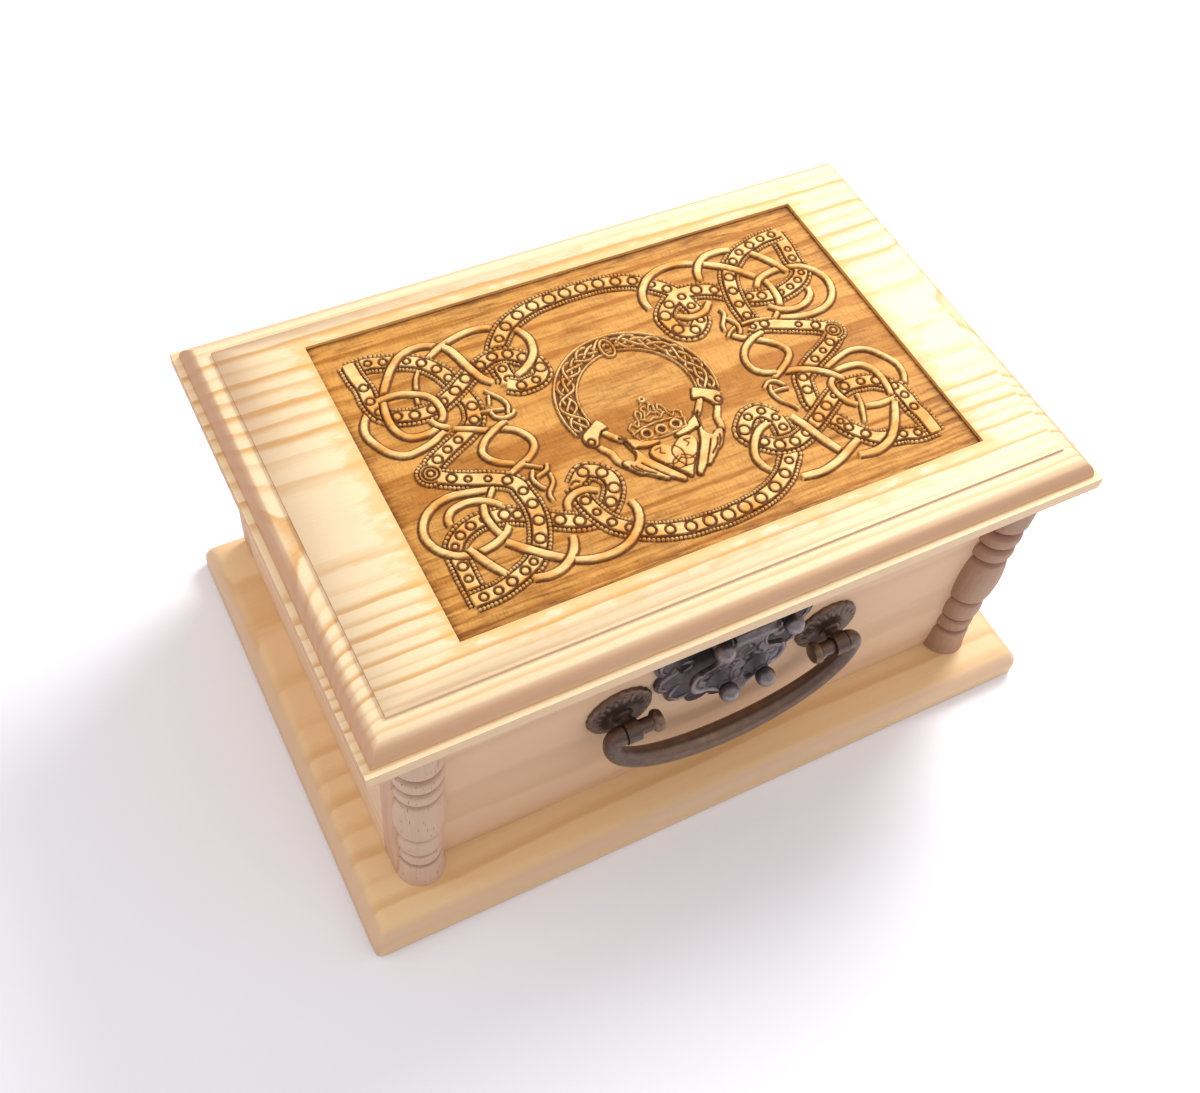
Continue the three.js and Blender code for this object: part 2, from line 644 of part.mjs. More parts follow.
function hingeLeaf( isLid ) {

	const half = HINGE_WIDTH / 2;
	const sixth = HINGE_WIDTH / 6;
	const gap = FIT / 2;
	const middle = [ [ gap - sixth, sixth - gap ] ];
	const outer = [ [ - half, - sixth - gap ], [ sixth + gap, half ] ];
	const [ own, other ] = isLid ? [ middle, outer ] : [ outer, middle ];
	const inner = HINGE_SEAT - HINGE_LEAF_THICK;
	const plate = isLid
		? block( - half, half, - HINGE_LID_LEAF_REACH, 0, inner, HINGE_SEAT )
		: block( - half, half, - HINGE_SEAT, - inner, - HINGE_BODY_LEAF_DROP, 0 );
	const clearings = other.map( ( [ x0, x1 ] ) => {

		const past = HINGE_SEAT + CUT_PAST;
		const front = isLid ? - HINGE_SEAT : - past;
		return block( x0 - FIT, x1 + FIT, front, past, - HINGE_SEAT, past );

	} );
	const knuckles = own.map( ( [ x0, x1 ] ) => barX( HINGE_KNUCKLE_RADIUS, x0, x1, 0, 0 ) );
	const bore = barX( HINGE_PIN_RADIUS + PIN_FIT, - half - CUT_PAST, half + CUT_PAST, 0, 0, SMALL_SIDES );
	const holes = SIDES.flatMap( ( side ) => {

		const x = side * HINGE_SCREW_SPACING / 2;
		const shank = HINGE_SCREW_RADIUS + PIN_FIT;
		const head = HINGE_SCREW_HEAD_RADIUS + PIN_FIT;
		const sunk = inner + HINGE_SCREW_SINK;
		const past = HINGE_SEAT + CUT_PAST;
		if ( isLid ) {

			return [
				barZ( shank, inner - CUT_PAST, past, x, HINGE_LID_SCREW_Y, SMALL_SIDES ),
				barZ( head, inner - CUT_PAST, sunk, x, HINGE_LID_SCREW_Y, SMALL_SIDES ),
			];

		}

		return [
			barY( shank, - past, CUT_PAST - inner, x, HINGE_BODY_SCREW_Z, SMALL_SIDES ),
			barY( head, - sunk, CUT_PAST - inner, x, HINGE_BODY_SCREW_Z, SMALL_SIDES ),
		];

	} );
	return cut( join( cut( plate, ...clearings ), ...knuckles ), bore, ...holes );

}

function hingePin() {

	const seat = HINGE_WIDTH / 2 + FIT;
	const end = seat + HINGE_PIN_HEAD;
	const pin = turned( [
		[ 0, - end ],
		[ HINGE_PIN_HEAD_RADIUS, - end ],
		[ HINGE_PIN_HEAD_RADIUS, - seat ],
		[ HINGE_PIN_RADIUS, - seat ],
		[ HINGE_PIN_RADIUS, seat ],
		[ HINGE_PIN_HEAD_RADIUS, seat ],
		[ HINGE_PIN_HEAD_RADIUS, end ],
		[ 0, end ],
	], SMALL_SIDES );
	return pin.rotateZ( Math.PI / 2 );

}

// Flat-headed screw, from the outside of its head along to its point
function hingeScrew() {

	return turned( [
		[ 0, 0 ],
		[ HINGE_SCREW_HEAD_RADIUS, 0 ],
		[ HINGE_SCREW_HEAD_RADIUS, HINGE_SCREW_SINK - FIT ],
		[ HINGE_SCREW_RADIUS, HINGE_SCREW_SINK - FIT ],
		[ HINGE_SCREW_RADIUS, HINGE_SCREW_LENGTH - SCREW_POINT ],
		[ 0, HINGE_SCREW_LENGTH ],
	], SMALL_SIDES );

}

// Drop handle, each piece drawn from the front face of the box

function rosette() {

	const sectors = ROSETTE_SCALLOPS * ROSETTE_SCALLOP_STEPS;
	const domed = ROSETTE_RISE - ROSETTE_RIM;
	const dome = Array.from( { length: ROSETTE_DOME_STEPS + 1 }, ( _, i ) => {

		const share = i / ROSETTE_DOME_STEPS;
		const radius = ROSETTE_RADIUS + ( ROSETTE_LAND_RADIUS - ROSETTE_RADIUS ) * share;
		return [ radius, ROSETTE_RIM + domed * Math.sin( share * Math.PI / 2 ) ];

	} );
	const disc = loft( [ [ ROSETTE_RADIUS, 0 ], ...dome ].map( ( [ radius, rise ] ) => {

		const wave = radius > 0.9 * ROSETTE_RADIUS ? ROSETTE_SCALLOP_DEPTH : 0;
		return Array.from( { length: sectors }, ( _, i ) => {

			const angle = i / sectors * 2 * Math.PI;
			const reach = radius - wave * ( 1 - Math.cos( ROSETTE_SCALLOPS * angle ) ) / 2;
			return new THREE.Vector3( reach * Math.cos( angle ), reach * Math.sin( angle ), rise );

		} );

	} ) ).rotateX( Math.PI / 2 );
	return cut( disc, barY( SHANK_RADIUS + PIN_FIT, - ROSETTE_RISE - CUT_PAST, CUT_PAST, 0, 0 ) );

}

function eyeBolt() {

	const back = WALL_THICK + WASHER_THICK + NUT_THICK + SHANK_PAST_NUT;
	const flangeTop = ROSETTE_RISE + EYE_FLANGE_THICK;
	const chamfer = 0.4;
	const stem = outward( turned( [
		[ 0, - back ],
		[ SHANK_RADIUS - chamfer, - back ],
		[ SHANK_RADIUS, chamfer - back ],
		[ SHANK_RADIUS, ROSETTE_RISE ],
		[ EYE_FLANGE_RADIUS, ROSETTE_RISE ],
		[ EYE_FLANGE_RADIUS, flangeTop - chamfer ],
		[ EYE_FLANGE_RADIUS - chamfer, flangeTop ],
		[ EYE_NECK_RADIUS, flangeTop + chamfer ],
		[ EYE_NECK_RADIUS, EYE_STAND_OFF ],
		[ 0, EYE_STAND_OFF ],
	] ) );
	const eye = barX( EYE_RADIUS, - EYE_WIDTH / 2, EYE_WIDTH / 2, - EYE_STAND_OFF, 0, LARGE_SIDES );
	const bore = barX( BAIL_PIN_RADIUS + PIN_FIT, - EYE_WIDTH, EYE_WIDTH, - EYE_STAND_OFF, 0 );
	return cut( join( stem, eye ), bore );

}

function washer() {

	const disc = barY( WASHER_RADIUS, 0, WASHER_THICK, 0, 0 );
	return cut( disc, barY( SHANK_RADIUS + PIN_FIT, - CUT_PAST, WASHER_THICK + CUT_PAST, 0, 0 ) );

}

function hexNut() {

	const cornerRadius = NUT_ACROSS_FLATS / 2 / Math.cos( Math.PI / 6 );
	const hex = barY( cornerRadius, 0, NUT_THICK, 0, 0, 6 );
	return cut( hex, barY( SHANK_RADIUS + PIN_FIT, - CUT_PAST, NUT_THICK + CUT_PAST, 0, 0 ) );

}

// The bail hangs from its pivot line: round an elbow at each eye, and half an ellipse between

function bail() {

	const end = HANDLE_SPACING / 2 + EYE_WIDTH / 2 + BAIL_END_GAP;
	const elbow = BAIL_END_RADIUS + BAIL_ELBOW_INSIDE;
	const leftElbow = new THREE.EllipseCurve( - end, - elbow, elbow, elbow, Math.PI / 2, Math.PI );
	const bow = new THREE.EllipseCurve( 0, - elbow, end + elbow, BAIL_DROP - elbow, Math.PI, 2 * Math.PI );
	const rightElbow = new THREE.EllipseCurve( end, - elbow, elbow, elbow, 0, Math.PI / 2 );
	const stretches = [
		[ leftElbow, BAIL_ELBOW_STEPS ],
		[ bow, BAIL_BOW_STEPS ],
		[ rightElbow, BAIL_ELBOW_STEPS ],
	];
	const rings = stretches.flatMap( ( [ curve, steps ], stretch ) => {

		const first = stretch === 0 ? 0 : 1;
		return Array.from( { length: steps + 1 - first }, ( _, i ) => {

			const share = ( i + first ) / steps;
			const { x, y: z } = curve.getPoint( share );
			const along = curve.getTangent( share );
			const swell = 1 - ( x / ( end + elbow ) ) ** 2;
			const radius = BAIL_END_RADIUS + ( BAIL_GRIP_RADIUS - BAIL_END_RADIUS ) * swell;
			return Array.from( { length: BAIL_SIDES }, ( __, k ) => {

				const angle = k / BAIL_SIDES * 2 * Math.PI;
				const out = radius * Math.cos( angle );
				return new THREE.Vector3( x + out * along.y, radius * Math.sin( angle ), z - out * along.x );

			} );

		} );

	} );
	const bores = SIDES.map( ( side ) => {

		const mouth = side * ( end - CUT_PAST );
		const bottom = side * ( end + BAIL_SPIGOT_LENGTH + FIT );
		return barX( BAIL_SPIGOT_RADIUS + PIN_FIT, mouth, bottom, 0, 0, SMALL_SIDES );

	} );
	return cut( loft( rings ), ...bores );

}

// Pin from the bail's end, in through the eye, to a knob that keeps it there
function bailPin( side ) {

	const seat = EYE_WIDTH / 2 + BAIL_END_GAP;
	const knobFoot = BAIL_KNOB_THICK - BAIL_KNOB_REACH;
	const bevel = 0.8;
	const pin = turned( [
		[ 0, - BAIL_KNOB_REACH ],
		[ BAIL_KNOB_RADIUS - bevel, - BAIL_KNOB_REACH ],
		[ BAIL_KNOB_RADIUS, bevel - BAIL_KNOB_REACH ],
		[ BAIL_KNOB_RADIUS, knobFoot - bevel ],
		[ BAIL_PIN_RADIUS, knobFoot ],
		[ BAIL_PIN_RADIUS, seat ],
		[ BAIL_SPIGOT_RADIUS, seat ],
		[ BAIL_SPIGOT_RADIUS, seat + BAIL_SPIGOT_LENGTH ],
		[ 0, seat + BAIL_SPIGOT_LENGTH ],
	] );
	return pin.rotateZ( - side * Math.PI / 2 );

}

// Lock plate: its lobes joined by a flat web through their centres

function lockPlate() {

	const web = new THREE.Shape();
	const [ topAcross, topHeight, topRadius ] = LOBES[ 0 ];
	web.moveTo( 0, topHeight + topRadius );
	web.lineTo( topAcross, topHeight + topRadius );
	LOBES.forEach( ( [ across, height ] ) => web.lineTo( across, height ) );
	web.lineTo( 0, PLATE_FOOT_HEIGHT );
	LOBES.toReversed().forEach( ( [ across, height ] ) => web.lineTo( - across, height ) );
	web.lineTo( - topAcross, topHeight + topRadius );
	const sheet = new THREE.ExtrudeGeometry( web, { depth: PLATE_THICK, bevelEnabled: false } );
	const lobes = LOBES.flatMap( ( [ across, height, radius ] ) => SIDES.map( ( side ) => {

		return barY( radius, - PLATE_THICK, 0, side * across, height );

	} ) );
	const foot = barY( PLATE_FOOT_RADIUS, - PLATE_THICK, 0, 0, PLATE_FOOT_HEIGHT );
	const front = - PLATE_THICK - CUT_PAST;
	const through = ( radius, x, z ) => barY( radius + PIN_FIT, front, CUT_PAST, x, z, SMALL_SIDES );
	const nailHoles = NAIL_PLACES.flatMap( ( [ across, height ] ) => SIDES.map( ( side ) => {

		return through( NAIL_RADIUS, side * across, height );

	} ) );
	const studHole = through( STUD_SHANK_RADIUS, 0, STUD_HEIGHT );
	return cut( join( sheet.rotateX( Math.PI / 2 ), ...lobes, foot ), ...nailHoles, studHole );

}

// Round-headed nail, drawn from the underside of its head
function plateNail() {

	return outward( turned( [
		[ 0, - NAIL_LENGTH ],
		[ NAIL_RADIUS, SCREW_POINT - NAIL_LENGTH ],
		[ NAIL_RADIUS, 0 ],
		[ NAIL_HEAD_RADIUS, 0 ],
		[ 0.8 * NAIL_HEAD_RADIUS, 0.65 * NAIL_HEAD_RISE ],
		[ 0, NAIL_HEAD_RISE ],
	], SMALL_SIDES ) );

}

function catchStud() {

	const rise = FLAP_BACK - FIT - PLATE_THICK;
	const bevel = 0.4;
	return outward( turned( [
		[ 0, - STUD_SHANK_LENGTH ],
		[ STUD_SHANK_RADIUS, SCREW_POINT - STUD_SHANK_LENGTH ],
		[ STUD_SHANK_RADIUS, 0 ],
		[ STUD_RADIUS, 0 ],
		[ STUD_RADIUS, rise - bevel ],
		[ STUD_RADIUS - bevel, rise ],
		[ 0, rise ],
	] ) );

}

// Hasp bracket, drawn from the front face of the body at the height of the hasp's pin

function haspBracket() {

	const half = BRACKET_WIDTH / 2;
	const top = HASP_AXIS_DROP;
	const foot = top - BRACKET_DROP;
	const round = BRACKET_FOOT_ROUND;
	const outline = new THREE.Shape();
	outline.moveTo( - half, top );
	outline.lineTo( - half, foot + round );
	outline.absarc( round - half, foot + round, round, Math.PI, 1.5 * Math.PI );
	outline.absarc( half - round, foot + round, round, 1.5 * Math.PI, 2 * Math.PI );
	outline.lineTo( half, top );
	const drop = new THREE.ExtrudeGeometry( outline, { depth: BRACKET_THICK, bevelEnabled: false } );
	drop.rotateX( Math.PI / 2 ).translate( 0, - BRACKET_STAND_OFF, 0 );
	const shelf = block( - half, half, - BRACKET_REACH, - BRACKET_STAND_OFF, top - BRACKET_THICK, top );
	const ears = SIDES.flatMap( ( side ) => {

		const inner = side * ( KNUCKLE_LENGTH / 2 + FIT );
		const outer = inner + side * EAR_THICK;
		const x0 = Math.min( inner, outer );
		const x1 = Math.max( inner, outer );
		return [
			block( x0, x1, - HASP_AXIS_STAND_OFF, - BRACKET_STAND_OFF - BRACKET_THICK / 2, - EAR_RADIUS, EAR_RADIUS ),
			barX( EAR_RADIUS, x0, x1, - HASP_AXIS_STAND_OFF, 0 ),
		];

	} );
	const bore = barX( HASP_PIN_RADIUS + PIN_FIT, - half, half, - HASP_AXIS_STAND_OFF, 0, SMALL_SIDES );
	const screwHoles = SIDES.map( ( side ) => {

		const x = side * BRACKET_SCREW_SPACING / 2;
		const radius = BRACKET_SCREW_RADIUS + PIN_FIT;
		const under = top - BRACKET_THICK - CUT_PAST;
		return barZ( radius, under, top + CUT_PAST, x, - BRACKET_SCREW_STAND_OFF, SMALL_SIDES );

	} );
	const pegHoles = SIDES.map( ( side ) => {

		const x = side * UPPER_PEG_SPACING / 2;
		const front = - BRACKET_FACE - CUT_PAST;
		const behind = CUT_PAST - BRACKET_STAND_OFF;
		return barY( PEG_RIVET_RADIUS + PIN_FIT, front, behind, x, UPPER_PEG_RISE, SMALL_SIDES );

	} );
	return cut( join( drop, shelf, ...ears ), bore, ...screwHoles, ...pegHoles );

}

function haspPin() {

	const half = KNUCKLE_LENGTH / 2 + FIT + EAR_THICK;
	return barX( HASP_PIN_RADIUS, - half, half, - HASP_AXIS_STAND_OFF, 0, SMALL_SIDES );

}

// Round-headed screw, drawn from the underside of its head, point up
function bracketScrew() {

	return upright( turned( [
		[ 0, - BRACKET_SCREW_HEAD_RISE ],
		[ 0.7 * BRACKET_SCREW_HEAD_RADIUS, - 0.75 * BRACKET_SCREW_HEAD_RISE ],
		[ BRACKET_SCREW_HEAD_RADIUS, 0 ],
		[ BRACKET_SCREW_RADIUS, 0 ],
		[ BRACKET_SCREW_RADIUS, BRACKET_SCREW_LENGTH - SCREW_POINT ],
		[ 0, BRACKET_SCREW_LENGTH ],
	], SMALL_SIDES ) );

}

// How far the back of the flap stands off the front board at a drop
function flapBack( drop ) {

	const slope = ( FLAP_NECK_BACK - FLAP_BACK ) / ( FLAP_SHOULDER_DROP - HASP_AXIS_DROP );
	const lift = FLAP_TIP_LIFT / ( FLAP_TIP_DROP - FLAP_FOOT_DROP );
	const above = Math.max( FLAP_SHOULDER_DROP - drop, 0 );
	const below = Math.max( drop - FLAP_FOOT_DROP, 0 );
	return FLAP_BACK + slope * above + lift * below;

}

function haspFlap() {

	const edge = new THREE.Path();
	edge.moveTo( FLAP_TIP_HALF_WIDTH, FLAP_TIP_DROP );
	edge.lineTo( FLAP_FOOT_HALF_WIDTH, FLAP_FOOT_DROP );
	const bend = ( cornerHalfWidth, cornerDrop, half, drop ) => {

		edge.quadraticCurveTo( cornerHalfWidth, cornerDrop, half, drop );

	};
	bend( FLAP_WING_HALF_WIDTH, FLAP_FOOT_DROP, FLAP_WING_HALF_WIDTH, FLAP_WING_DROP );
	bend( FLAP_WING_HALF_WIDTH, FLAP_SHOULDER_DROP, FLAP_SHOULDER_HALF_WIDTH, FLAP_SHOULDER_DROP );
	bend( FLAP_NECK_HALF_WIDTH, FLAP_SHOULDER_DROP, FLAP_NECK_HALF_WIDTH, FLAP_NECK_DROP );
	edge.lineTo( FLAP_NECK_HALF_WIDTH, HASP_AXIS_DROP );
	const rings = edge.getPoints( FLAP_CURVE_STEPS ).map( ( { x: halfWidth, y: drop } ) => {

		const middle = - flapBack( drop ) - FLAP_THICK / 2;
		return rectangleRing( halfWidth, FLAP_THICK / 2, HASP_AXIS_DROP - drop, 0, middle );

	} );
	const half = KNUCKLE_LENGTH / 2;
	const past = half + CUT_PAST;
	const knuckle = barX( KNUCKLE_RADIUS, - half, half, - HASP_AXIS_STAND_OFF, 0, LARGE_SIDES );
	const bore = barX( HASP_PIN_RADIUS + PIN_FIT, - past, past, - HASP_AXIS_STAND_OFF, 0, SMALL_SIDES );
	const pegHoles = SIDES.map( ( side ) => {

		const x = side * LOWER_PEG_SPACING / 2;
		const front = - FLAP_BACK - FLAP_THICK - CUT_PAST;
		const behind = CUT_PAST - FLAP_BACK;
		return barY( PEG_RIVET_RADIUS + PIN_FIT, front, behind, x, - LOWER_PEG_FALL, SMALL_SIDES );

	} );
	return cut( join( loft( rings ), knuckle ), bore, ...pegHoles );

}

// Peg with a rivet through the sheet that carries it, drawn from the front of that sheet
function peg( length, baseRadius, sheetThick ) {

	const ballCentre = length - PEG_BALL_RADIUS;
	const neckAngle = - Math.acos( PEG_NECK_RADIUS / PEG_BALL_RADIUS );
	const ball = Array.from( { length: PEG_BALL_STEPS }, ( _, i ) => {

		const angle = neckAngle + ( Math.PI / 2 - neckAngle ) * i / PEG_BALL_STEPS;
		return [ PEG_BALL_RADIUS * Math.cos( angle ), ballCentre + PEG_BALL_RADIUS * Math.sin( angle ) ];

	} );
	const neckFoot = ball[ 0 ][ 1 ];
	const bell = Array.from( { length: PEG_BELL_STEPS }, ( _, i ) => {

		const share = i / PEG_BELL_STEPS;
		return [ PEG_NECK_RADIUS + ( baseRadius - PEG_NECK_RADIUS ) * ( 1 - share ) ** 2, neckFoot * share ];

	} );
	return outward( turned( [
		[ 0, - sheetThick ],
		[ PEG_RIVET_RADIUS, - sheetThick ],
		[ PEG_RIVET_RADIUS, 0 ],
		...bell,
		...ball,
		[ 0, length ],
	] ) );

}

// Assembly

const box = new THREE.Group();

function place( name, geometry, material, x = 0, y = 0, z = 0, parent = box ) {

	const mesh = new THREE.Mesh( geometry, material );
	mesh.name = name;
	mesh.position.set( x, y, z );
	parent.add( mesh );

}

function groupAt( x, y, z ) {

	const group = new THREE.Group();
	group.position.set( x, y, z );
	box.add( group );
	return group;

}

place( 'base_plate', baseBoard(), basePine );
place( 'front_wall', frontBoard(), palePine, 0, BODY_FRONT_Y, BASE_THICK );
place( 'back_wall', backBoard(), palePine, 0, BODY_BACK_Y, BASE_THICK );
place( 'left_wall', endBoard(), palePine, - BODY_LENGTH / 2, BODY_FRONT_Y, BASE_THICK );
place( 'right_wall', endBoard(), palePine, BODY_LENGTH / 2 - WALL_THICK, BODY_FRONT_Y, BASE_THICK );
place( 'lid_board', lidBoard(), pine, 0, LID_CENTRE_Y, BODY_TOP_Z );

const handle = groupAt( HARDWARE_X, BODY_FRONT_Y, HANDLE_HEIGHT );
const plate = groupAt( HARDWARE_X, BODY_FRONT_Y, 0 );
const hasp = groupAt( HARDWARE_X, BODY_FRONT_Y, HASP_AXIS_HEIGHT );

place( 'bail', bail(), bronze, 0, - EYE_STAND_OFF, 0, handle );
place( 'lock_plate', lockPlate(), plateBronze, 0, 0, 0, plate );
place( 'catch_stud', catchStud(), bronze, 0, - PLATE_THICK, STUD_HEIGHT, plate );
place( 'hasp_bracket', haspBracket(), bronze, 0, 0, 0, hasp );
place( 'hasp_pin', haspPin(), steel, 0, 0, 0, hasp );
place( 'hasp_flap', haspFlap(), bronze, 0, 0, 0, hasp );

for ( const [ side, name ] of SIDE_NAMES ) {

	const turningX = side * ( BODY_LENGTH / 2 - TURNING_INSET );
	place( `spindle_${ name }`, splitTurning(), turnedPine, turningX, BODY_FRONT_Y, BASE_THICK );

	const eyeX = side * HANDLE_SPACING / 2;
	const nutY = WALL_THICK + WASHER_THICK;
	place( `rosette_${ name }`, rosette(), bronze, eyeX, 0, 0, handle );
	place( `eye_bolt_${ name }`, eyeBolt(), bronze, eyeX, 0, 0, handle );
	place( `washer_${ name }`, washer(), steel, eyeX, WALL_THICK, 0, handle );
	place( `nut_${ name }`, hexNut(), steel, eyeX, nutY, 0, handle );
	place( `bail_pin_${ name }`, bailPin( side ), bronze, eyeX, - EYE_STAND_OFF, 0, handle );

	NAIL_PLACES.forEach( ( [ across, height ], i ) => {

		const x = side * across;
		place( `plate_nail_${ name }_${ i + 1 }`, plateNail(), bronze, x, - PLATE_THICK, height, plate );

	} );

	const screwX = side * BRACKET_SCREW_SPACING / 2;
	const shelfZ = HASP_AXIS_DROP - BRACKET_THICK;
	place( `bracket_screw_${ name }`, bracketScrew(), steel, screwX, - BRACKET_SCREW_STAND_OFF, shelfZ, hasp );

	const upperPeg = peg( UPPER_PEG_LENGTH, UPPER_PEG_BASE_RADIUS, BRACKET_THICK );
	const upperX = side * UPPER_PEG_SPACING / 2;
	place( `upper_peg_${ name }`, upperPeg, bronze, upperX, - BRACKET_FACE, UPPER_PEG_RISE, hasp );

	const lowerPeg = peg( LOWER_PEG_LENGTH, LOWER_PEG_BASE_RADIUS, FLAP_THICK );
	const lowerX = side * LOWER_PEG_SPACING / 2;
	const flapFace = - FLAP_BACK - FLAP_THICK;
	place( `lower_peg_${ name }`, lowerPeg, bronze, lowerX, flapFace, - LOWER_PEG_FALL, hasp );

	const hinge = groupAt( side * HINGE_SPACING / 2, HINGE_AXIS_Y, HINGE_AXIS_Z );
	const leafFace = HINGE_SEAT - HINGE_LEAF_THICK;
	place( `hinge_${ name }_body_leaf`, hingeLeaf( false ), brass, 0, 0, 0, hinge );
	place( `hinge_${ name }_lid_leaf`, hingeLeaf( true ), brass, 0, 0, 0, hinge );
	place( `hinge_${ name }_pin`, hingePin(), steel, 0, 0, 0, hinge );
	SIDES.forEach( ( screwSide, i ) => {

		const x = screwSide * HINGE_SCREW_SPACING / 2;
		const body = `hinge_${ name }_body_screw_${ i + 1 }`;
		const lid = `hinge_${ name }_lid_screw_${ i + 1 }`;
		place( body, outward( hingeScrew() ), brass, x, - leafFace, HINGE_BODY_SCREW_Z, hinge );
		place( lid, upright( hingeScrew() ), brass, x, HINGE_LID_SCREW_Y, leafFace, hinge );

	} );

}

export default box;
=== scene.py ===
"""A pine keepsake box with a carved lid, a drop handle and a hasp, dressed over its frame."""

import math

import bmesh
import bpy
import numpy as np
from bpy.props import FloatProperty, FloatVectorProperty, IntProperty, PointerProperty
from mathutils import Matrix, Vector


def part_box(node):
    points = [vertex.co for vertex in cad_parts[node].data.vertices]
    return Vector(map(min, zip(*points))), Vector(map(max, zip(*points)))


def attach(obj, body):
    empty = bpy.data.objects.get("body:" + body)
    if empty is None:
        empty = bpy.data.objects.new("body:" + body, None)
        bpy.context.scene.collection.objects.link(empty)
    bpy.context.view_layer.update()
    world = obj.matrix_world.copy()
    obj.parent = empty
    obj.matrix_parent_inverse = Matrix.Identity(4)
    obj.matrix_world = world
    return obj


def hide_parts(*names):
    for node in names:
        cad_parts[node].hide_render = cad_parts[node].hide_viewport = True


bl_info = {
    "name": "Carved Keepsake Box",
    "version": (1, 0, 0),
    "blender": (4, 5, 0),
    "location": "3D View > Sidebar > Keepsake Box",
    "description": "Dresses the frame of a pine keepsake box with its carving and metal",
    "category": "Object",
}

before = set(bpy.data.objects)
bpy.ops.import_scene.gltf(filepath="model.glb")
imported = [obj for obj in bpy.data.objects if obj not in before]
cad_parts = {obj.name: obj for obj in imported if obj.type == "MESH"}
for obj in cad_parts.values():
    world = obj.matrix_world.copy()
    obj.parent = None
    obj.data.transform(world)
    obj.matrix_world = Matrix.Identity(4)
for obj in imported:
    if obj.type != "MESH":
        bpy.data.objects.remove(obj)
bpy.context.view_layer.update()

MM = 0.001
SIDES = (-1, 1)
SIDE_NAMES = {-1: "left", 1: "right"}

# Faces that meet at more than this many degrees keep a crisp edge between them: as a rule, on
# the bail and the flap, and on the carving
SHARP_ANGLE = 35
METAL_SHARP_ANGLE = 50
CARVED_SHARP_ANGLE = 60


def extent(node):
    """The lowest and highest corner of a frame node, in millimetres."""
    low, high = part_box(node)
    return low / MM, high / MM


def middle_of(node):
    """The middle of a frame node's box, in millimetres."""
    low, high = extent(node)
    return (low + high) / 2


# Places that follow from the frame, in millimetres
LID_LOW, LID_HIGH = extent("lid_board")
LID_MIDDLE_Y = (LID_LOW.y + LID_HIGH.y) / 2
WALL_FACE_Y = extent("front_wall")[0].y
HARDWARE_X = middle_of("lock_plate").x
BAIL_AXIS = middle_of("bail_pin_left")
HASP_AXIS = middle_of("hasp_pin")

# The sunk panel of the lid, from the lid's edges, in millimetres
PANEL_MARGINS = (33.2, 29.0, 21.55, 17.95)
PANEL_SUNK = 1.2
PANEL_X = (LID_LOW.x + PANEL_MARGINS[0], LID_HIGH.x - PANEL_MARGINS[1])
PANEL_Y = (LID_LOW.y + PANEL_MARGINS[2], LID_HIGH.y - PANEL_MARGINS[3])
PANEL_FLOOR = LID_HIGH.z - PANEL_SUNK

# The carved sheet in it, in millimetres: how far its ground lies over the panel's floor and its
# underside below, and how far off the panel's walls the plain floor is taken out for it
GROUND_LIFT = 0.05
GROUND_SUNK = 0.1
PANEL_CLEAR = 0.05

# The turnings at the front corners, in millimetres: each swell's height and its full and end radii
SWELLS = (
    (11.2, 6.6, 6.4),
    (6.3, 6.3, 6.0),
    (10.3, 6.6, 5.9),
    (22.5, 7.5, 6.3),
    (7.0, 7.0, 6.2),
    (7.2, 7.1, 6.2),
)

# Between and round the swells: the grooves and how far a swell rounds into them, the flare of
# the foot, and the cup at the top with its chamfer
GROOVE_RADIUS = 5.1
SHOULDER = 2.2
FOOT_FLARE = 0.9
FOOT_RISE = 7.0
CUP_RADIUS = 7.3
CUP_RISE = 4.0
CUP_CHAMFER = (0.25, 0.4)
SWELL_STEPS = 25
CUP_STEPS = 9

# The handle's bail, in millimetres: how far out its ends stand, its elbow's radius, its drop
# below the elbows, its radius at the ends and how much it thickens in the middle. The eyes stand
# this far out.
BAIL_END = 36.45
BAIL_ELBOW = 2.95
BAIL_DROP = 24.05
BAIL_RADIUS = 2.75
BAIL_SWELL = 0.75
ELBOW_STEPS = 13
BOW_STEPS = 97
EYE_SPREAD = 34.0
HANDLE_SIDES = 32

# Its rosettes, in millimetres: the rim, the dome that rises from it to a flat land with this
# share of a quarter round, the notches between scallops, the dent in from each scallop and how
# fast it narrows sideways, and the share of the radius where the edge turns down and how far
ROSETTE_RADIUS = 10.2
ROSETTE_SCALLOPS = 20
ROSETTE_RIM = 0.7
ROSETTE_RISE = 2.6
ROSETTE_LAND = 3.7
ROSETTE_ROUND = 0.96
ROSETTE_NOTCH = 0.3
ROSETTE_ROWS = 29
SCALLOP_POINTS = 12
DENT_RADIUS = 8.2
DENT_REACH = 0.95
DENT_DEPTH = 0.45
DENT_TAPER = 4.5
EDGE_START = 0.96
EDGE_FALL = 0.35

# Its pins, as radius and distance out from the eye, in millimetres
PIN_PROFILE = ((0, -9.5), (2.0, -9.5), (2.8, -9.25), (3.2, -8.6), (3.3, -7.9), (3.2, -7.2),
               (2.7, -6.7), (2.2, -6.3), (2.2, 2.45), (1.2, 2.45), (1.2, 4.65), (0, 4.65))

